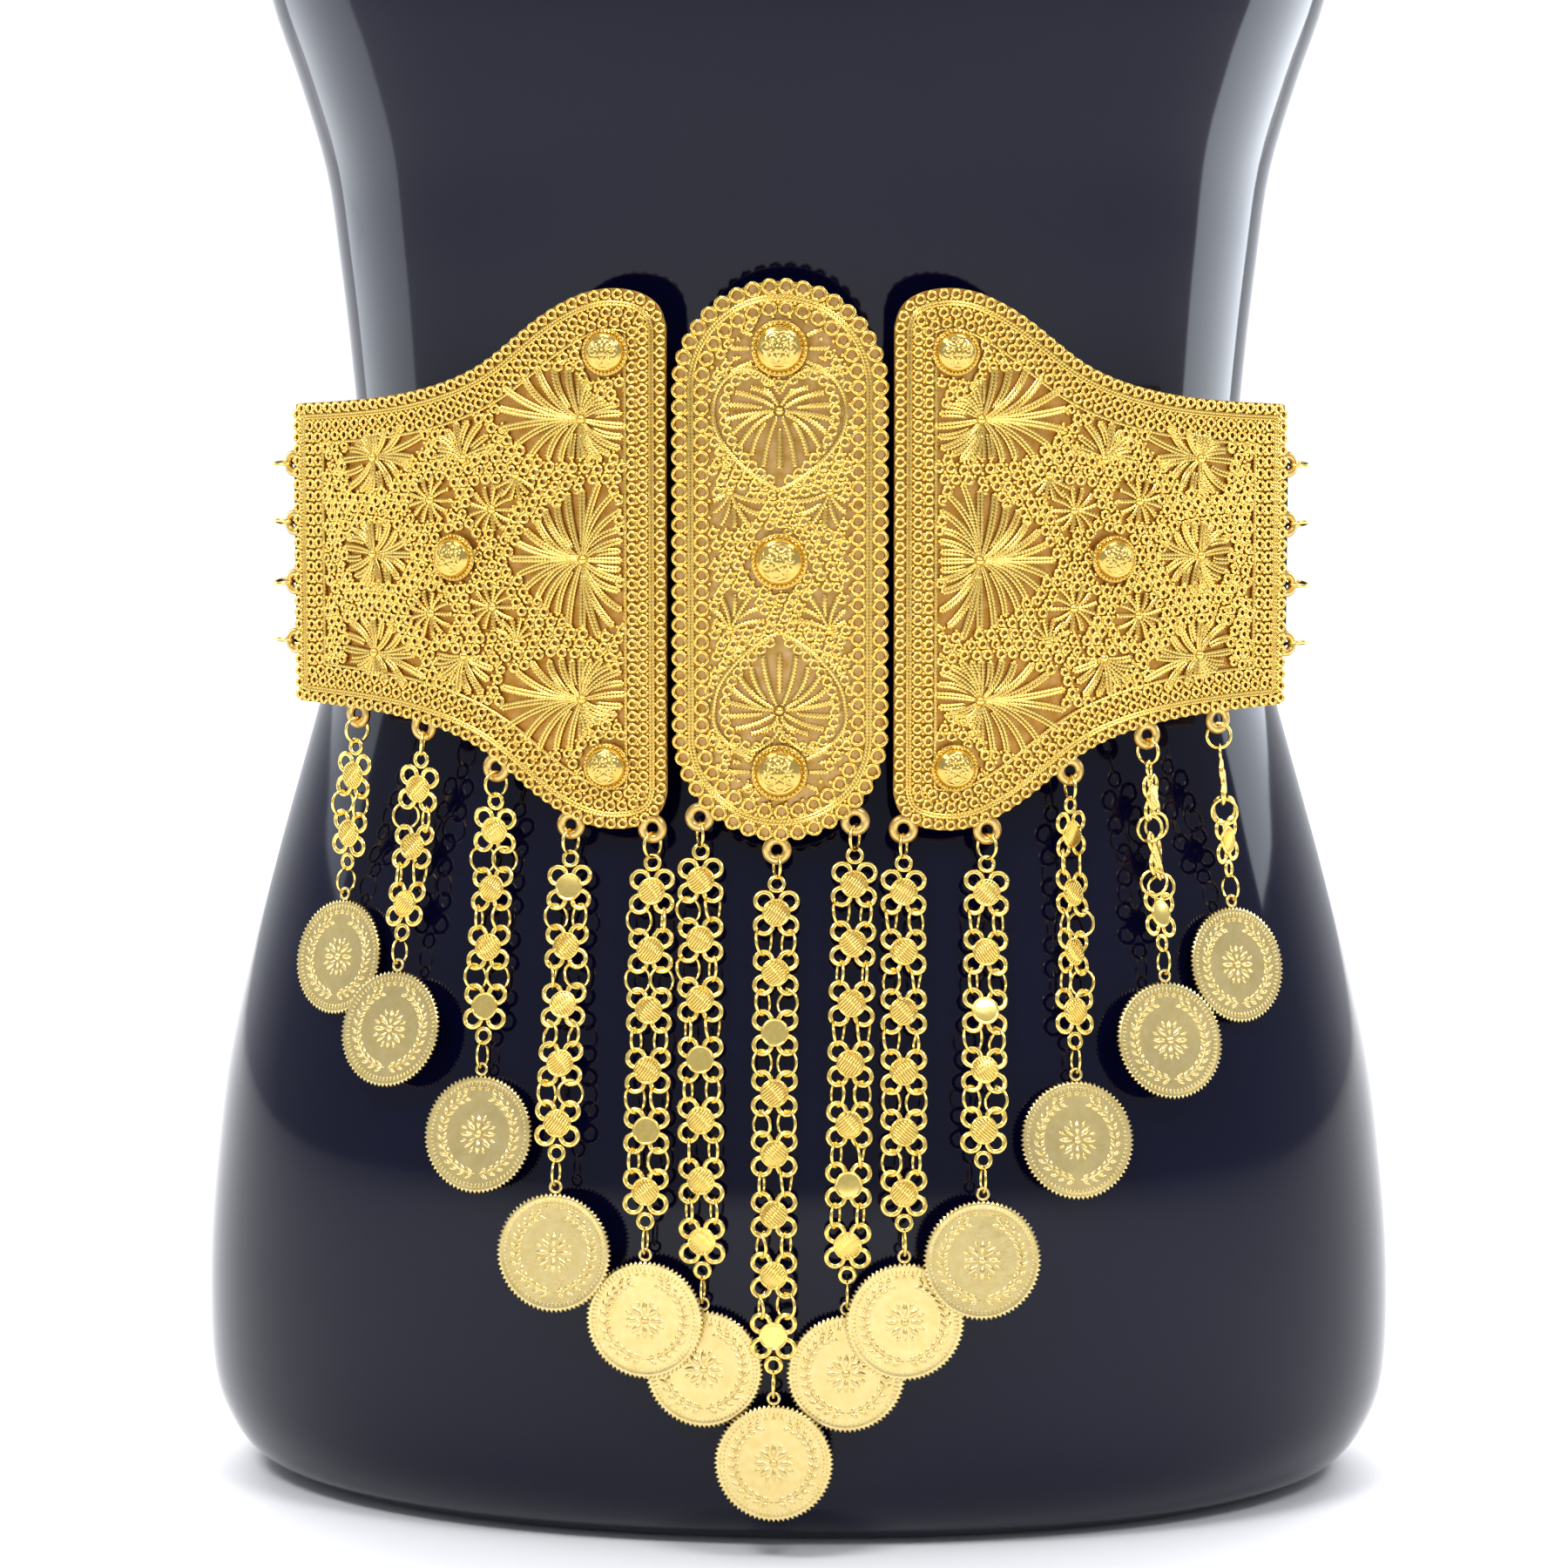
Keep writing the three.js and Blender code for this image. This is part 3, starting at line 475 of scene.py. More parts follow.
def plate_template(outline, holes):
    curve = bpy.data.curves.new("cut", "CURVE")
    curve.dimensions = "2D"
    curve.fill_mode = "BOTH"
    curve.extrude = PLATE_THICKNESS / 2 - BASE_BEVEL
    curve.bevel_depth = BASE_BEVEL
    curve.bevel_resolution = 0
    for points in [outline, *holes]:
        spline = curve.splines.new("POLY")
        spline.points.add(len(points) - 1)
        for point, (x, y) in zip(spline.points, points):
            point.co = (x, y, 0, 1)
        spline.use_cyclic_u = True
    obj = bpy.data.objects.new("cut", curve)
    bpy.context.scene.collection.objects.link(obj)
    mesh = bpy.data.meshes.new_from_object(obj.evaluated_get(bpy.context.evaluated_depsgraph_get()))
    work = bmesh.new()
    work.from_mesh(mesh)
    bmesh.ops.remove_doubles(work, verts=work.verts, dist=1e-4)
    across = [v.co.x for v in work.verts]
    for x in np.arange(min(across) + STRIP, max(across), STRIP):
        geometry = work.verts[:] + work.edges[:] + work.faces[:]
        cut = bmesh.ops.bisect_plane(work, geom=geometry, plane_co=(x, 0, 0), plane_no=(1, 0, 0), dist=1e-4)
        for part in cut["geom_cut"]:
            if isinstance(part, bmesh.types.BMEdge):
                part.seam = True
    bmesh.ops.dissolve_limit(
        work, angle_limit=0.01, verts=work.verts[:], edges=work.edges[:], delimit={"SEAM"})
    bmesh.ops.triangulate(work, faces=work.faces[:])
    bmesh.ops.recalc_face_normals(work, faces=work.faces[:])
    work.verts.ensure_lookup_table()
    points = np.array([v.co[:] for v in work.verts])
    tris = np.array([[v.index for v in face.verts] for face in work.faces])
    work.free()
    bpy.data.objects.remove(obj)
    bpy.data.meshes.remove(mesh)
    return points, NO_QUADS, tris


def circle_points(x, y, radius, count):
    return polar(radius, round_angles(count)) + (x, y)


LUG_STEPS = 48


def joined_outline(outline, discs):
    """The outline with round lugs that stand out of it."""
    result = outline
    for x, y, radius in discs:
        ring = circle_points(x, y, radius, LUG_STEPS)
        outside = depth_inside(result, ring) < 0
        start = next(i for i in range(LUG_STEPS) if outside[i] and not outside[i - 1])
        bulge = np.roll(ring, -start, 0)[np.roll(outside, -start)]
        kept = np.linalg.norm(result - (x, y), axis=1) >= radius
        first = next(i for i in range(len(result)) if not kept[i] and kept[i - 1])
        count = int((~kept).sum())
        rest = np.roll(result, -first - count, 0)[:len(result) - count]
        if np.linalg.norm(bulge[0] - rest[-1]) > np.linalg.norm(bulge[-1] - rest[-1]):
            bulge = bulge[::-1]
        result = np.vstack([rest, bulge])
    return result


def side_of(x):
    return 0 if abs(x) < CENTRE_HALF_WIDTH else int(math.copysign(1, x))


BASE_STEP = 1.2
WING_INSET = 0.25
CENTRE_INSET = 0.9
HOLE_STEPS = 28


def lugs(side):
    """Place, radius and hole of each lug and tab that stands out of a plate."""
    found = [
        (along_arc(x), z - PLATE_MIDDLE_Z, LUG_RADIUS, LUG_HOLE)
        for _, x, z, _, _ in STRANDS if side_of(x) == side
    ]
    if side:
        found += [(side * along_arc(TAB_X), height, TAB_RADIUS, TAB_HOLE) for height in TAB_HEIGHTS]
    return found


def base_plate(place_name, side):
    outline = wing_outline() * (side, 1) if side else centre_outline()
    outline = inset(outline, WING_INSET if side else CENTRE_INSET, BASE_STEP)
    outline = joined_outline(outline, [lug[:3] for lug in lugs(side)])
    holes = [circle_points(x, y, hole, HOLE_STEPS) for x, y, _, hole in lugs(side)]
    # On the wings the base gold is darker, painted shade for their deep gaps.
    gold = WING_BASE_PAINTED_SHADE if side else CENTRE_BASE
    make_piece(f"plate_{place_name}", plate_template(outline, holes), gold, "gold_base",
               f"base_plate_{place_name}", mapping=on_arc, smooth=False)
    faces = Shape()
    for x, y, radius, hole in lugs(side):
        face = torus((hole + radius) / 2, (radius - hole) / 2 - 0.05, 24, 8, 0.25)
        faces.add(face, place(x, y, PLATE_THICKNESS / 2))
    make_piece(f"lugs_{place_name}", faces.arrays(), LUG_GOLD, "gold_base", mapping=on_arc)


# Filigree: rings, twisted wires, fans of beaded wires and scrolls

WIRE_LEVEL = PLATE_THICKNESS / 2 + 0.72
WIRE_TALL = 1.35
BEAD_PITCH = 0.9
BEAD_SWELL = 0.3
EYELET_PITCH = 3.15


def beaded_wire(path, width, closed=False):
    """Wire along a flat path whose width swells at every bead."""
    points = resample(path, BEAD_PITCH / 2, closed)
    beat = np.where(np.arange(len(points)) % 2 == 0, 1 + BEAD_SWELL, 1 - BEAD_SWELL)
    stops = np.atleast_1d(width)
    widths = np.interp(np.linspace(0, 1, len(points)), np.linspace(0, 1, len(stops)), stops)
    path3 = np.column_stack([points, np.full(len(points), WIRE_LEVEL)])
    return tube(path3, widths / 2 * 1.25 * beat, 4, WIRE_TALL, closed)


def fan_length(fan, angle):
    """How far a fan's rays reach at an angle, from its own short table."""
    angles, lengths = zip(*fan["reach"])
    return float(np.interp(angle, angles, lengths))


RAY_WIDTHS = np.array((0.7, 0.85, 0.98, 1.04, 1.0))
RAY_SPREAD = np.array((0.12, 0.34, 0.46, 0.5, 0.46))
RAY_STOPS = np.linspace(0, 1, 5)
SHORT_RAY = 8
RAY_STAGGER = 3
FAN_MARGIN = 0.4


def add_fan(shape, fan, hub_radius):
    """Rays of one or two beaded wires that leave along the fan's axis and bend away from it."""
    first, last = fan["reach"][0][0], fan["reach"][-1][0]
    count = fan["rays"]
    full = last - first >= 359
    hub = (fan["x"], fan["y"])
    mirror = (1, fan.get("mirror", 1))
    t = np.linspace(0, 1, 9)
    for i in range(count):
        angle = first + (last - first) * (i / count if full else i / (count - 1))
        length = fan_length(fan, angle) * (1 if i % 2 == 0 else 0.95)
        start = fan["hub"] + (RAY_STAGGER if i % 2 and length >= SHORT_RAY else 0)
        away = math.radians(angle - fan.get("axis", 0))
        lean = fan.get("bend", 0.0) * abs(math.sin(2 * away)) * math.copysign(1, math.sin(away))
        turn = math.radians(angle) - lean * (1 - t)
        reach = start + (length - start) * t
        middle = polar(reach, turn)
        across = left_of(np.gradient(middle, axis=0))
        spread = np.interp(reach / length, RAY_STOPS, RAY_SPREAD)[:, None]
        for share in ((-1, 1) if fan.get("twin") else (0,)):
            path = (middle + across * spread * share) * mirror + hub
            shape.add(beaded_wire(path, RAY_WIDTHS * (0.92 if share else fan.get("thick", 1.1))))
        if length > SHORT_RAY and fan.get("twin"):
            shape.add(TIP_BEAD, place(*(middle[-1] * mirror + hub), WIRE_LEVEL))
    shape.add(bead(hub_radius, 1.4, 10), place(*hub, WIRE_LEVEL))


def fan_shape(fans, hub_radius):
    shape = Shape()
    for fan in fans:
        add_fan(shape, fan, hub_radius)
    return shape


def inside_fan(fan, places):
    d = places - (fan["x"], fan["y"])
    angle = np.degrees(np.arctan2(d[:, 1] * fan.get("mirror", 1), d[:, 0]))
    radius = np.linalg.norm(d, axis=1)
    first, last = fan["reach"][0][0], fan["reach"][-1][0]
    angle = first + (angle - first) % 360
    lengths = np.array([fan_length(fan, a) if a <= last else 0 for a in angle])
    return radius < lengths - FAN_MARGIN


TIP_BEAD = bead(0.8, 1.0, 5)
BIG_HALF_REACH = (
    (8, 20), (20, 18.2), (31, 17), (44, 16.6), (57, 16.4), (72, 17), (86, 18.7),
    (101, 20.6), (112, 20.6), (122, 18.8), (132, 15.3), (147, 12.2), (167, 10.9), (180, 10.6),
)
BIG_REACH = (*((-angle, length) for angle, length in BIG_HALF_REACH[::-1]), *BIG_HALF_REACH)
PALM_REACH = (
    (-172, 12), (-150, 13), (-120, 12), (-90, 10.5), (-65, 11.5), (-40, 15.5), (-18, 21),
    (0, 23.5), (14, 24.5), (28, 21), (45, 18.5), (62, 16), (85, 12), (110, 8), (140, 8), (172, 11.5),
)
OUTER_REACH = (
    (-170, 12), (-140, 9.5), (-90, 9), (-45, 11), (-5, 10), (30, 7), (90, 6), (125, 9),
    (155, 18), (180, 14),
)
MIDDLE_REACH = (
    (-180, 13), (-150, 10.5), (-90, 9), (-40, 8.5), (0, 9.5), (40, 8.5), (90, 9), (150, 10.5), (180, 13),
)
ROSETTE_REACH = ((-180, 6.6), (-90, 6.0), (0, 6.8), (90, 6.4), (180, 6.6))
SPRAY_REACH = ((0, 8), (60, 9), (120, 11), (160, 9))
TUFT_REACH = ((-150, 6), (-90, 7), (-30, 7))


def twins(fan):
    """The fan and its mirror image below the wing's middle."""
    return fan, dict(fan, y=-fan["y"], mirror=-1)


# Fans of a wing, in millimetres along the arc and up from the middle, with reach by angle
WING_FANS = (
    dict(x=52.0, y=0.0, hub=1.2, rays=28, bend=0.4, twin=True, reach=BIG_REACH),
    *twins(dict(x=52.3, y=36.6, hub=1.2, rays=26, bend=0.4, twin=True, reach=PALM_REACH)),
    dict(x=114.5, y=0.4, hub=1.0, rays=19, bend=0.4, axis=180, twin=True, reach=MIDDLE_REACH),
    *twins(dict(x=114.3, y=26.0, hub=1.0, rays=18, bend=0.4, axis=170, twin=True, reach=OUTER_REACH)),
    *twins(dict(x=95.9, y=15.0, hub=0.9, rays=13, bend=0.3, reach=ROSETTE_REACH)),
    *twins(dict(x=77.4, y=12.8, hub=0.9, rays=13, bend=0.3, reach=ROSETTE_REACH)),
    *twins(dict(x=86.0, y=26.0, hub=0.9, rays=9, bend=0.3, axis=60, twin=True, reach=SPRAY_REACH)),
    *twins(dict(x=70.5, y=22.0, hub=0.9, rays=6, bend=0.2, axis=-90, reach=TUFT_REACH)),
)
CENTRE_STUDS = ((0, 55), (0, 0), (0, -55))
WING_STUDS = ((45, 54), (86, 0), (45, -54))


SCROLL_WAVE = 1.3
SCROLL_JITTER = 0.35
ROW_SHARE = 0.87


def scroll_places(outline, border, fans, studs, pitch, seed):
    """Slightly uneven honeycomb of places clear of the border, fans and studs."""
    dice = random.Random(seed)
    low, high = outline.min(axis=0), outline.max(axis=0)
    places = []
    row = 0
    y = low[1]
    while y < high[1]:
        x = low[0] + (pitch / 2 if row % 2 else 0)
        while x < high[0]:
            across = SCROLL_WAVE * math.sin(y / 6.5 + x / 19) + dice.uniform(-SCROLL_JITTER, SCROLL_JITTER)
            up = SCROLL_WAVE * math.sin(x / 8.5 - y / 23) + dice.uniform(-SCROLL_JITTER, SCROLL_JITTER)
            places.append((x + across, y + up))
            x += pitch
        y += pitch * ROW_SHARE
        row += 1
    places = np.array(places)
    keep = depth_inside(outline, places) > border
    for fan in fans:
        keep &= ~inside_fan(fan, places)
    for sx, sy, radius in studs:
        keep &= np.linalg.norm(places - (sx, sy), axis=1) > radius
    return places[keep], dice


def scroll_shape(places, dice, pitch):
    """Eyelets, some of them opened to scrolls, with small beads between."""
    shape = Shape()
    eyelet = torus(pitch * 0.36, pitch * 0.18, 10, 4, WIRE_TALL)
    t = np.linspace(0, 1, 12)
    scroll = tube(polar(pitch * 0.5 * (0.3 + 0.7 * t), t * 2.5 * math.pi), pitch * 0.16, 4, WIRE_TALL)
    drop = bead(0.66, 0.95, 5)
    for x, y in places:
        template = scroll if dice.random() < 0.2 else eyelet
        shape.add(template, place(x, y, WIRE_LEVEL, dice.uniform(0, 2 * math.pi)))
        for dx, dy in polar(pitch * 0.577, np.array((math.pi / 6, math.pi / 2))):
            shape.add(drop, place(x + dx, y + dy, WIRE_LEVEL))
    return shape


def add_row(shape, template, outline, distance, pitch):
    for x, y in inset(outline, distance, pitch):
        shape.add(template, place(x, y, WIRE_LEVEL))


def border_shape(outline, rings, ropes, beads, steps, sides):
    """Rows of rings, beaded wires and beads at their distances inside an outline."""
    shape = Shape()
    for distance, pitch, radius, wire in rings:
        add_row(shape, torus(radius, wire, steps, sides, WIRE_TALL), outline, distance, pitch)
    for distance, width in ropes:
        shape.add(beaded_wire(inset(outline, distance, OUTLINE_STEP), width, closed=True))
    for distance, pitch, radius in beads:
        add_row(shape, bead(radius, 1.0, 5), outline, distance, pitch)
    return shape


def mirrored(template, side):
    if side > 0:
        return template
    points, quads, tris = template
    return points * (-1, 1, 1), quads[:, ::-1], tris[:, ::-1]


def add_filigree(place_name, side, border, fans, scrolls):
    node = f"filigree_{place_name}"
    for kind, shape, nodes in (("border", border, [node]), ("fans", fans, []), ("scrolls", scrolls, [])):
        template = mirrored(shape.arrays(), side)
        make_piece(f"{node}_{kind}", template, FILIGREE_GOLD, "gold_filigree", *nodes, mapping=on_arc)


WING_RINGS = [(distance, EYELET_PITCH, 1.1, 0.5) for distance in (1.55, 6.25, 9.15)]
WING_ROPES = ((3.55, 0.85), (4.3, 0.85), (10.9, 0.8))
WING_BEADS = ((2.85, EYELET_PITCH, 0.6), (5.0, EYELET_PITCH / 2, 0.55), (7.7, EYELET_PITCH / 2, 0.6))
WING_BORDER = 11.6
WING_STUD_CLEARANCE = 6.8
WING_SCROLL_PITCH = 3.05


def wing_filigree(place_name, side):
    outline = wing_outline()
    border = border_shape(outline, WING_RINGS, WING_ROPES, WING_BEADS, 12, 4)
    studs = [(along_arc(x), y, WING_STUD_CLEARANCE) for x, y in WING_STUDS]
    places, dice = scroll_places(outline, WING_BORDER, WING_FANS, studs, WING_SCROLL_PITCH, 11)
    scrolls = scroll_shape(places, dice, WING_SCROLL_PITCH)
    add_filigree(place_name, side, border, fan_shape(WING_FANS, 1.5), scrolls)


HEART_REACH = (
    (-235, 7), (-215, 11), (-190, 14), (-165, 14.5), (-140, 14), (-115, 14.5), (-90, 15.4),
    (-65, 14.5), (-40, 14), (-15, 14.5), (10, 14), (35, 11), (55, 7),
)
STUD_SIDE_REACH = ((-205, 11), (-180, 12.5), (-154, 14))
CENTRE_SMALL_REACH = ((-150, 5), (-110, 9), (-60, 10.5), (-15, 9.5))
CENTRE_FANS = (
    *twins(dict(x=0.0, y=38.8, hub=1.6, rays=19, bend=0.35, axis=90, thick=1.4, reach=HEART_REACH)),
    *twins(dict(x=-12.9, y=18.0, hub=0.9, rays=7, bend=0.3, axis=-70, thick=1.3, reach=CENTRE_SMALL_REACH)),
    *twins(dict(x=0.0, y=55.0, hub=7.3, rays=5, thick=1.2, reach=STUD_SIDE_REACH)),
)
HEART = (
    (0, 43.4), (2.5, 47), (7.5, 49.6), (13.5, 47.5), (17, 41.5),
    (16, 33), (10.5, 25.5), (4.5, 20.8), (0, 18.4),
)


CENTRE_PITCH = 4.35
CENTRE_RINGS = ((2.0, CENTRE_PITCH, 1.7, 0.62), (7.7, CENTRE_PITCH, 1.66, 0.6))
CENTRE_ROPES = ((4.5, 1.0), (5.35, 1.0))
CENTRE_BEADS = ((3.75, CENTRE_PITCH, 0.7), (9.9, CENTRE_PITCH, 0.75), (6.1, CENTRE_PITCH, 0.7))
CENTRE_BORDER = 10.5
CENTRE_STUD_CLEARANCE = 7.9
CENTRE_SCROLL_PITCH = 3.0
HEART_RING_PITCH = 3.0


def add_heart(shape, side, up):
    heart = smooth_curve(HEART)
    shape.add(beaded_wire(heart * (side, up), 1.15))
    inner = resample(heart * (0.86, 1), HEART_RING_PITCH, closed=False)[2:-1]
    ring = torus(1.15, 0.5, 12, 4, WIRE_TALL)
    for x, y in inner:
        inward = np.array((-x, 36 - y)) / max(math.hypot(x, 36 - y), 1e-6)
        shape.add(ring, place(side * (x + inward[0] * 0.4), up * (y + inward[1] * 1.2), WIRE_LEVEL))
    outer = resample(heart * (1.12, 1), HEART_RING_PITCH, closed=False)[3:-2]
    for x, y in outer:
        if abs(x) < 18.2:
            shape.add(ring, place(side * x, up * y, WIRE_LEVEL))


def centre_filigree():
    outline = centre_outline()
    border = border_shape(outline, CENTRE_RINGS, CENTRE_ROPES, CENTRE_BEADS, 14, 5)
    fans = fan_shape(CENTRE_FANS, 1.4)
    fans.add(mirrored(fan_shape(CENTRE_FANS[2:], 1.4).arrays(), -1))
    for side in (1, -1):
        for up in (1, -1):
            add_heart(fans, side, up)
    studs = [(x, y, CENTRE_STUD_CLEARANCE) for x, y in CENTRE_STUDS]
    places, dice = scroll_places(outline, CENTRE_BORDER, CENTRE_FANS, studs, CENTRE_SCROLL_PITCH, 5)
    half_heart = smooth_curve(HEART) * (1.15, 1.0)
    heart = np.vstack([half_heart, (half_heart * (-1, 1))[::-1]])
    clear = (depth_inside(heart, places) < 0.6) & (depth_inside(heart * (1, -1), places) < 0.6)
    for fan in CENTRE_FANS[2:]:
        clear &= ~inside_fan(fan, places * (-1, 1))
    scrolls = scroll_shape(places[clear], dice, CENTRE_SCROLL_PITCH)
    add_filigree("centre", 1, border, fans, scrolls)


# Domed studs with a beaded foot and an engraved flower

STUD_STEPS = 96
STUD_RINGS = 26
STUD_DOME = 6.1
STUD_RISE = 4.4
STUD_BRIM = 0.9
STUD_FOOT = ((6.35, 0.55), (6.9, 0.6), (7.35, 0.3), (7.35, 0.0), (5.5, 0.0))
STUD_BEADS = 34
STUD_BEAD_PLACE = 6.85
WING_STUD_SCALE = 0.84
STUD_SEAT = PLATE_THICKNESS / 2 + FIT_GAP * 2 + 1.2
FLORETS = 6
FLORET_PLACE = 3.05
FLORET_RADIUS = 1.35


def groove(distance, width, depth):
    return np.exp(-(distance / width) ** 2) * depth


def stud_template():
    t = np.linspace(0, 1, STUD_RINGS)[1:]
    tt, uu = np.meshgrid(t, round_angles(STUD_STEPS), indexing="ij")
    angle = (1 - tt) * math.pi / 2
    radius = STUD_DOME * np.cos(angle)
    height = STUD_BRIM + (STUD_RISE - STUD_BRIM) * np.sin(angle)
    x, y = radius * np.cos(uu), radius * np.sin(uu)
    for cx, cy in circle_points(0, 0, FLORET_PLACE, FLORETS):
        away = np.hypot(x - cx, y - cy)
        height = height - groove(away - FLORET_RADIUS, 0.2, 0.42) - groove(away, 0.35, 0.3)
    height = height - groove(radius - 1.2, 0.22, 0.4) - groove(radius - 4.95, 0.24, 0.35)
    points = np.stack([x, y, height], axis=-1).reshape(-1, 3)
    points = np.vstack([points, turned_rings(STUD_FOOT, STUD_STEPS)])
    return stacked(points, STUD_STEPS, (0, 0, STUD_RISE), (0, 0, 0), flip=True)


def add_studs():
    dome = stud_template()
    for place_name, side in sorted(PLATES):
        studs = WING_STUDS if side else CENTRE_STUDS
        scale = WING_STUD_SCALE if side else 1.0
        for i, (x, y) in enumerate(studs):
            shape = Shape()
            s = along_arc(x) * (side or 1)
            shape.add(dome, place(s, y, STUD_SEAT, 0.3 * i, scale))
            for bx, by in circle_points(s, y, STUD_BEAD_PLACE * scale, STUD_BEADS):
                shape.add(bead(0.62 * scale, 0.8 * scale, 6), place(bx, by, STUD_SEAT + 0.35))
            name = f"{place_name}_{i + 1}"
            make_piece(f"dome_{name}", shape.arrays(), STUD_GOLD, "gold_filigree", f"stud_{name}",
                       mapping=on_arc)


# The form's sections, and the way that each strand hangs on it

def section_at(z):
    """Half width, front depth and back depth of the form at a height."""
    return [np.interp(z, FORM[:, 0], column) for column in FORM[:, 1:].T]


def section_point(section, angle, offset):
    half, front, back = section
    power = 2 / FORM_EXPONENT
    c, s = math.cos(angle), math.sin(angle)
    return (
        math.copysign(abs(c) ** power, c) * (half + offset),
        math.copysign(abs(s) ** power, s) * ((front if s < 0 else back) + offset),
    )


FORM_SIDE_LIMIT = 0.999


def front_y(x, z, offset):
    half, front, _ = section_at(z)
    t = min(abs(x) / (half + offset), FORM_SIDE_LIMIT)
    return -(front + offset) * (1 - t ** FORM_EXPONENT) ** (1 / FORM_EXPONENT)


def facing(x, z, offset):
    half, depth = (size + offset for size in section_at(z)[:2])
    side = (abs(x) / half) ** (FORM_EXPONENT - 1) / half
    ahead = (abs(front_y(x, z, offset)) / depth) ** (FORM_EXPONENT - 1) / depth
    return math.copysign(math.atan2(side, ahead), x)


def smoothstep(x, low, high):
    t = min(max((x - low) / (high - low), 0), 1)
    return t * t * (3 - 2 * t)


HINGE_SLACK = 1.0 - WIRE_RADIUS - FIT_GAP
PATH_STEP = 0.5
PATH_TAIL = 20


def last_link(links):
    return FIRST_LINK + (links - 1) * LINK_PITCH


def strand_path(links, lug_x, lug_z, drift, layer):
    """Places down a strand, as x, y, z, the way that it faces and the length so far."""
    length = last_link(links) + COIN_LOOP_DROP + COIN_LOOP_RISE
    lug_angle = math.asin(lug_x / PLATE_RADIUS)
    lug_y = ARC_MIDDLE_Y - PLATE_RADIUS * math.cos(lug_angle)
    rows = []
    y = lug_y
    run = 0.0
    for i in range(math.ceil((length + PATH_TAIL) / PATH_STEP) + 1):
        drop = i * PATH_STEP
        t = min(max(drop / length, 0), 1)
        x, z = lug_x + drift * t, lug_z - drop
        offset = CHAIN_OFFSET + layer * LIFT_STEP * smoothstep(
            drop, length - LIFT_LENGTH - LIFT_END, length - LIFT_END)
        near = min(1, drop / 6)
        y = min(y, lug_y + (front_y(x, z, offset) - lug_y) * near)
        face = lug_angle + (facing(x, z, offset) - lug_angle) * t
        if rows:
            run += math.dist((x, y, z), rows[-1][:3])
        rows.append((x, y, z, face, run))
    return np.array(rows)


def matrix_of(across, up, out, origin):
    matrix = np.eye(4)
    matrix[:3] = np.column_stack([across, up, out, origin])
    return matrix


def frame_at(path, down):
    """Matrix at a distance down the path: x across, y up the strand, z outward."""
    def at(run):
        return np.array([np.interp(run, path[:, 4], path[:, k]) for k in range(4)])

    here = at(down)
    up = unit(at(down - 3)[:3] - at(down + 3)[:3])
    level = np.array((math.cos(here[3]), math.sin(here[3]), 0))
    across = unit(level - up * np.dot(level, up))
    return matrix_of(across, up, np.cross(across, up), here[:3] + (0, SHIFT_Y, 0))


FORM_STEPS = 128


def form_surface():
    rows = smooth_curve(FORM, 4)
    points = [
        (*section_point(section, a, 0), z) for z, *section in rows for a in round_angles(FORM_STEPS)
    ]
    points = np.array(points) + (0, SHIFT_Y, 0)
    template = stacked(points, FORM_STEPS, (0, SHIFT_Y, 0), (0, SHIFT_Y, FORM[-1, 0]))
    make_piece("form_surface", template, FORM_BLACK, "gloss_black", "dress_form")


# Links: four wire petals round a struck disc, joined by pairs of rings

PETAL_PLACE = 3.22
PETAL_RADIUS = 2.3
PETAL_BAND = 0.72
DISC_RADIUS = 3.75
JOINER_RADIUS = 3.42
JOINER_WIRE = 0.47
JUMP_WIRE = 0.5
WIDEST_LEAN = 0.95
HATCH_PITCH = 0.72
HATCH_LEVEL = 0.78
RING_STEPS = 20
RING_GAP = 0.16
RING_LIFT = 1.3
LOOP_PLACE = 7.75


def link_template(hatch):
    """Quatrefoil of flat petal rings with a disc on it, hatched at an angle or plain."""
    shape = Shape()
    petal = torus(PETAL_RADIUS, PETAL_BAND, 18, 8, 0.62)
    edging = torus(PETAL_RADIUS + 0.1, 0.16, 18, 4)
    for x, y in polar(PETAL_PLACE * math.sqrt(2), np.radians((45, 135, 225, 315))):
        shape.add(petal, place(x, y))
        shape.add(edging, place(x, y, 0.42))
    rim = DISC_RADIUS
    shape.add(lathe((
        (0, -0.35), (rim - 0.5, -0.4), (rim - 0.1, -0.1), (rim, 0.4), (rim - 0.12, 0.74),
        (rim - 0.4, 0.9), (rim - 0.55, 0.74), (rim - 0.62, 0.7), (rim - 0.8, 0.72), (1.4, 0.8), (0, 0.82),
    ), 30))
    if hatch is None:
        return shape.arrays()
    along = np.array((math.cos(hatch), math.sin(hatch)))
    across = np.array((-math.sin(hatch), math.cos(hatch)))
    for offset in HATCH_PITCH * np.arange(-4, 5):
        half = math.sqrt((rim - 0.6) ** 2 - offset ** 2)
        ends = np.array([along * half + across * offset, -along * half + across * offset])
        shape.add(tube(np.column_stack([ends, (HATCH_LEVEL, HATCH_LEVEL)]), 0.27))
    return shape.arrays()


def upright(ring):
    """The same ring standing square to the strand."""
    points, quads, tris = ring
    return points[:, (2, 0, 1)], quads, tris


def open_ring(radius, wire):
    """Ring of wire whose ends part sideways."""
    angle = np.linspace(RING_GAP, 2 * math.pi - RING_GAP, RING_STEPS)
    aside = RING_LIFT * np.sign(angle - math.pi) * np.abs(np.cos(angle / 2)) ** 6
    return tube(np.column_stack([polar(radius, angle), aside]), wire)


def turned(angle, axis):
    matrix = np.eye(4)
    matrix[:3, :3] = np.array(Matrix.Rotation(angle, 3, axis))
    return matrix


LINK_TWIST = {12: 0.8, 13: 0.92, 11: 0.5}
HINGE_WIRE = 0.41


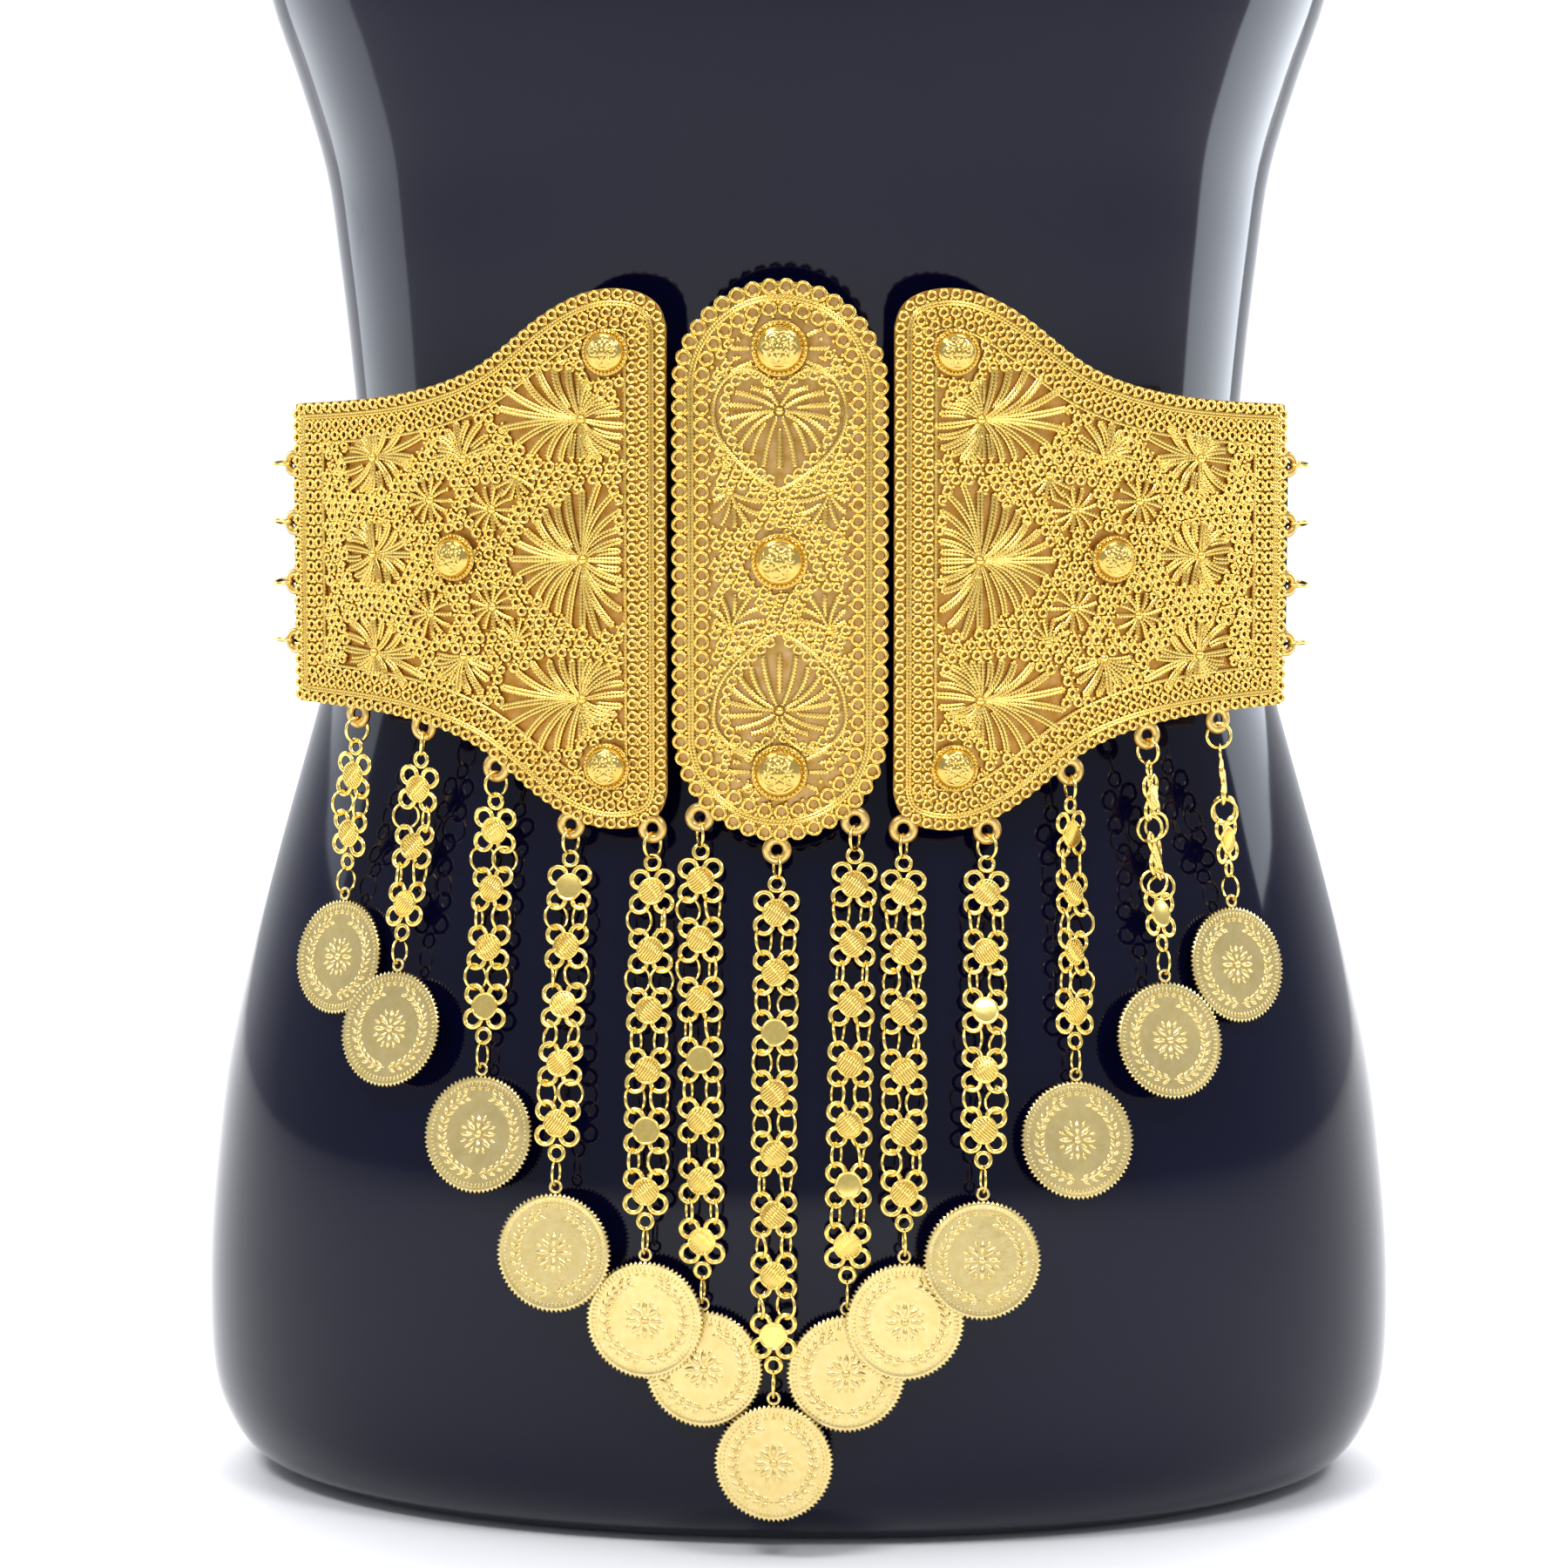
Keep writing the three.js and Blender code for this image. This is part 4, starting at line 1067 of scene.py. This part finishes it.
def add_strands():
    hatches = (*(math.radians(a) for a in (40, 48, 56, 128, 140)), None)
    links = [link_template(hatch) for hatch in hatches]
    loop = torus(1.92, 0.62, 16, 8, 0.7)
    closed_joiner = upright(torus(JOINER_RADIUS, JOINER_WIRE, RING_STEPS))
    open_joiner = upright(open_ring(JOINER_RADIUS, JOINER_WIRE))
    jump = upright(torus(JUMP_RING_RADIUS, JUMP_WIRE, RING_STEPS))
    hinge_ring = upright(torus(JUMP_RING_RADIUS, HINGE_WIRE, RING_STEPS))
    dice = random.Random(3)
    for number, (count, *lie) in enumerate(STRANDS, 1):
        shape = Shape()
        path = strand_path(count, *lie)
        twist = LINK_TWIST.get(number, 0)
        last = last_link(count)
        for k in range(count):
            centre = FIRST_LINK + k * LINK_PITCH
            below = k < count - 1
            sway = twist if below else twist * 0.5
            at = frame_at(path, centre) @ turned(sway + dice.uniform(-0.06, 0.06), "Y")
            shape.add(dice.choice(links), at)
            for side in (-1, 1) if below else ():
                lean = dice.uniform(0.1, WIDEST_LEAN) * dice.choice((1, -1))
                ring = open_joiner if dice.random() < 0.4 else closed_joiner
                gap = frame_at(path, centre + LINK_PITCH / 2) @ turned(twist, "Y")
                shape.add(ring, gap @ place(side * PETAL_PLACE) @ turned(lean, "Y"))
        for run, sway, up in ((FIRST_LINK, twist, LOOP_PLACE), (last, twist * 0.5, -LOOP_PLACE)):
            shape.add(loop, frame_at(path, run) @ turned(sway, "Y") @ place(0, up))
        top = frame_at(path, LUG_HOLE - WIRE_RADIUS - FIT_GAP + JUMP_RING_RADIUS)
        shape.add(jump, top @ turned(dice.choice((-1, 1)) * dice.uniform(0.3, 0.6) + twist, "Y"))
        shape.add(hinge_ring, frame_at(path, last + COIN_LOOP_DROP - HINGE_SLACK - JUMP_RING_RADIUS))
        make_piece(f"chain_{number}", shape.arrays(), CHAIN_GOLD, "gold_chain", f"strand_{number}")


# Coins: a reeded rim, a ring of dashes, a laurel wreath and a star flower

COIN_REEDS = 76
COIN_NOTCH = 1.0
COIN_HALF = 0.42
COIN_FRONT = ((0.4, 0), (4, 0), (9, 0), (13.2, 0), (13.9, 0.02), (14.2, 0.1), (14.7, 0.1), (15.6, 0))
COIN_BACK = ((15.6, 0), (14.7, 0.1), (14.2, 0.1), (13.8, 0), (0.4, 0))
COIN_ROWS = (
    *((radius, COIN_HALF + rise) for radius, rise in COIN_FRONT),
    *((radius, -COIN_HALF - rise) for radius, rise in COIN_BACK),
)
REEDED_FROM = 15.3
DASHES = 76
WREATH_RADIUS = 10.4
WREATH_LEAVES = 13
LEAF_LEAN = 0.62
PETALS = 8


def leaf(length, width, height):
    t = np.linspace(0, 1, 5)
    half = width / 2 * np.sin(math.pi * t) ** 0.8
    ridge = height * np.sin(math.pi * t) + 0.02
    flat = np.zeros(5)
    rows = [np.stack(row, axis=1) for row in (
        (t * length, -half, flat), (t * length, flat, ridge), (t * length, half, flat),
    )]
    return np.stack(rows, axis=1).reshape(-1, 3), grid_faces(5, 3), NO_TRIS


def add_around(shape, template, radius, z, angles):
    """Copies round the middle, each turned to face outward."""
    for a in angles:
        shape.add(template, place(radius * math.cos(a), radius * math.sin(a), z, a))


def coin_template():
    shape = Shape()
    steps = COIN_REEDS * 2
    reeded = np.array([[radius > REEDED_FROM] for radius, _ in COIN_ROWS])
    points = turned_rings(COIN_ROWS, steps, COIN_NOTCH * reeded * (np.arange(steps) % 2))
    shape.add(stacked(points, steps, (0, 0, COIN_HALF), (0, 0, -COIN_HALF), flip=True))
    dash = tube(np.array(((12.9, 0, COIN_HALF), (14.1, 0, COIN_HALF))), 0.2, 4)
    add_around(shape, dash, 0, 0, round_angles(DASHES))
    blade = leaf(2.6, 1.05, 0.6)
    stem = polar(WREATH_RADIUS, np.radians(np.arange(-88, 72, 8)))
    for side in (1, -1):
        for k in range(WREATH_LEAVES):
            a = math.radians(-84 + k * 12.2)
            x, y = WREATH_RADIUS * math.cos(a) * side, WREATH_RADIUS * math.sin(a)
            for lean in (LEAF_LEAN, -LEAF_LEAN):
                shape.add(blade, place(x, y, COIN_HALF, math.pi / 2 + side * (a - lean)))
        shape.add(tube(np.column_stack([stem * (side, 1), np.full(len(stem), COIN_HALF)]), 0.16, 4))
    add_around(shape, leaf(3.9, 1.5, 0.75), 1.3, COIN_HALF, round_angles(PETALS))
    add_around(shape, leaf(2.2, 0.9, 0.6), 3.4, COIN_HALF, round_angles(PETALS, 0.5))
    shape.add(bead(1.2, 0.6, 14), place(0, 0, COIN_HALF))
    point = leaf(0.85, 0.42, 0.4)
    for a in np.radians(np.arange(60, 121, 10)):
        for b in round_angles(5) + a:
            shape.add(point, place(12.1 * math.cos(a), 12.1 * math.sin(a), COIN_HALF, b))
    shape.add(torus(1.45, 0.45, 16, 8), place(0, COIN_LOOP_RISE))
    return shape.arrays()


def add_coins():
    coin = coin_template()
    for number, strand in enumerate(STRANDS, 1):
        hinge = last_link(strand[0]) + COIN_LOOP_DROP - HINGE_SLACK
        at = frame_at(strand_path(*strand), hinge) @ place(0, -HINGE_SLACK - COIN_LOOP_RISE)
        node = f"coin_{number}"
        make_piece(f"struck_{node}", moved(coin, at), COIN_GOLD, "gold_coin", node, body=node)


SIDE_RING_WIRE = 0.48
SIDE_RING_TILTS = (0.12, -0.22, 0.2, -0.15)


def add_side_rings():
    points, quads, tris = torus(SIDE_RING_RADIUS, SIDE_RING_WIRE, 28, 8)
    ring = points[:, (0, 2, 1)] * (1, 1, -1), quads, tris
    reach = TAB_HOLE - WIRE_RADIUS - FIT_GAP + SIDE_RING_RADIUS
    for place_name, side in (PLATES[0], PLATES[-1]):
        angle = side * math.asin(TAB_X / PLATE_RADIUS)
        across = np.array((math.cos(angle), math.sin(angle), 0))
        out = np.array((math.sin(angle), -math.cos(angle), 0))
        for i, (height, tilt) in enumerate(zip(TAB_HEIGHTS, SIDE_RING_TILTS), 1):
            hole = on_arc(np.array([(angle * PLATE_RADIUS, height, 0)]))[0]
            at = matrix_of(across, (0, 0, 1), out, hole + across * side * reach) @ turned(tilt, "X")
            name = f"ring_{place_name}_{i}"
            make_piece(f"wire_{name}", moved(ring, at), CHAIN_GOLD, "gold_chain", f"side_{name}")


# Elastic band from wing to wing round the back, a thin shell with ribbed edges

BAND_THICKNESS = 1.0
BAND_LOW, BAND_HIGH = 235.0, 285.0
BAND_START_X = 117.0
BAND_OVERSHOOT = 2.2
BAND_CLEARANCE = 0.45
BAND_ROWS = 26
BAND_COLUMNS = 220


def band_line(z):
    """The band's middle line round the back at a height, and its length."""
    radius = PLATE_RADIUS - (PLATE_THICKNESS / 2 + FIT_GAP + BAND_THICKNESS / 2)
    start = math.asin(BAND_START_X / PLATE_RADIUS)
    end = math.asin(WING_ROWS[-1][0] / PLATE_RADIUS) + BAND_OVERSHOOT / PLATE_RADIUS
    angles = np.linspace(start, end, 10)
    lead = np.stack([radius * np.sin(angles), ARC_MIDDLE_Y - radius * np.cos(angles)], axis=1)
    section = section_at(z)
    hug = np.array([
        section_point(section, math.radians(a), BAND_CLEARANCE + BAND_THICKNESS / 2)
        for a in np.arange(-30, 90.5, 1)
    ])
    away = hug - lead[-1]
    touch = next(
        i for i, d in enumerate(away) if np.all(d[0] * away[:, 1] - d[1] * away[:, 0] >= -1e-9)
    )
    half = np.vstack([lead, hug[touch:]])
    whole = np.vstack([half, (half[:-1] * (-1, 1))[::-1]])
    runs = run_lengths(whole)
    return points_at(whole, runs, np.linspace(0, runs[-1], BAND_COLUMNS)), runs[-1]


def elastic_band():
    outer, inner, lengths = [], [], []
    for j, z in enumerate(np.linspace(BAND_LOW, BAND_HIGH, BAND_ROWS)):
        line, length = band_line(z)
        lengths.append(length)
        out = -left_of(np.gradient(line, axis=0))
        edge = j in (0, BAND_ROWS - 1)
        half = BAND_THICKNESS / 2 * (0.75 if edge else 1.0)
        wave = 0.12 * edge * (np.arange(BAND_COLUMNS) % 2) * (1 if j else -1)
        for rows, side in ((outer, half), (inner, -half)):
            rows.append(np.column_stack([line + out * side + (0, SHIFT_Y), z + wave]))
    loop_rows = outer + inner[::-1]
    n = len(loop_rows)
    quads = grid_faces(n, BAND_COLUMNS, True, False)
    caps = []
    for column, order in ((0, -1), (BAND_COLUMNS - 1, 1)):
        for j in range(BAND_ROWS - 1):
            corners = np.array((j, j + 1, n - 2 - j, n - 1 - j)) * BAND_COLUMNS + column
            caps.append(corners[::order])
    template = np.vstack(loop_rows), np.vstack([quads, caps]), NO_TRIS
    obj = make_piece("elastic_sheet", template, ELASTIC_BLACK, "elastic", "elastic_band")


# Floor and light

FLOOR_REACH = 3.4


def add_stage():
    mesh = bpy.data.meshes.new("floor")
    work = bmesh.new()
    bmesh.ops.create_grid(work, x_segments=1, y_segments=1, size=FLOOR_REACH)
    work.to_mesh(mesh)
    work.free()
    floor = bpy.data.objects.new("floor", mesh)
    floor.location = (0, 0, -0.0005)
    material, tree, shader = new_material("pale_floor")
    ramp(tree, add_noise(tree, 3.0), shader["Base Color"], ((0.3, (0.95,)), (0.7, (0.98,))))
    shader["Roughness"].default_value = 0.6
    mesh.materials.append(material)
    bpy.context.scene.collection.objects.link(floor)


def add_light(name, location, target, size, power, colour=(1, 1, 1)):
    data = bpy.data.lights.new(name, "AREA")
    data.shape = "RECTANGLE"
    data.size, data.size_y = size
    data.energy = power
    data.color = colour
    light = bpy.data.objects.new(name, data)
    light.location = location
    light.rotation_euler = (Vector(target) - Vector(location)).to_track_quat("-Z", "Y").to_euler()
    bpy.context.scene.collection.objects.link(light)
    return light


def add_world():
    """Bright studio, white at the sides and behind, dimmer in front."""
    world = bpy.data.worlds.new("studio")
    world.use_nodes = True
    tree = world.node_tree
    back = tree.nodes["Background"].inputs
    split = new_node(tree, "SeparateXYZ")
    tree.links.new(new_node(tree, "TexCoord").outputs["Generated"], split.inputs["Vector"])
    scale = new_node(tree, "MapRange", From_Min=-1.0, From_Max=1.0)
    tree.links.new(split.outputs["Y"], scale.inputs["Value"])
    both = new_node(tree, "VectorMath")
    both.operation = "ADD"
    ramp(tree, scale.outputs["Result"], both.inputs[0], (
        (0.0, (0.56, 0.58, 0.67)), (0.64, (0.56, 0.58, 0.67)),
        (0.77, (0.85, 0.88, 0.98)), (0.86, (1.09, 1.12, 1.2)),
    ))
    ramp(tree, split.outputs["Z"], both.inputs[1], ((0.75, (0,)), (0.95, (0.9,))))
    tree.links.new(both.outputs["Vector"], back["Color"])
    back["Strength"].default_value = 0.94
    bpy.context.scene.world = world


def add_lights():
    aim = (0, 0, 0.25)
    add_light("key", (-0.75, -1.35, 1.65), aim, (0.7, 0.35), 21)
    add_light("fill", (0.95, -1.3, 1.5), aim, (0.6, 0.35), 13)
    for name, side, angle, power in (("strip_left", -1, 112, 0.62), ("strip_right", 1, 118, 1.4)):
        a = math.radians(angle)
        waist = Vector((side * 0.118, -0.02, 0.40))
        away = Vector((side * math.sin(a), -math.cos(a), 0)) * 0.33
        strip = add_light(name, waist + away, waist, (0.29, 0.3), power, (0.85, 0.92, 1.0))
        strip.visible_diffuse = False
    wash = add_light("floor_wash", (0, 2.2, 1.9), (0, 1.6, 0), (4.0, 1.6), 120)
    wash.visible_glossy = False


bpy.context.scene.view_settings.view_transform = "Standard"
form_surface()
for place_name, side in PLATES:
    base_plate(place_name, side)
wing_filigree(*PLATES[0])
wing_filigree(*PLATES[-1])
centre_filigree()
add_studs()
add_strands()
add_coins()
add_side_rings()
elastic_band()
add_stage()
add_world()
add_lights()
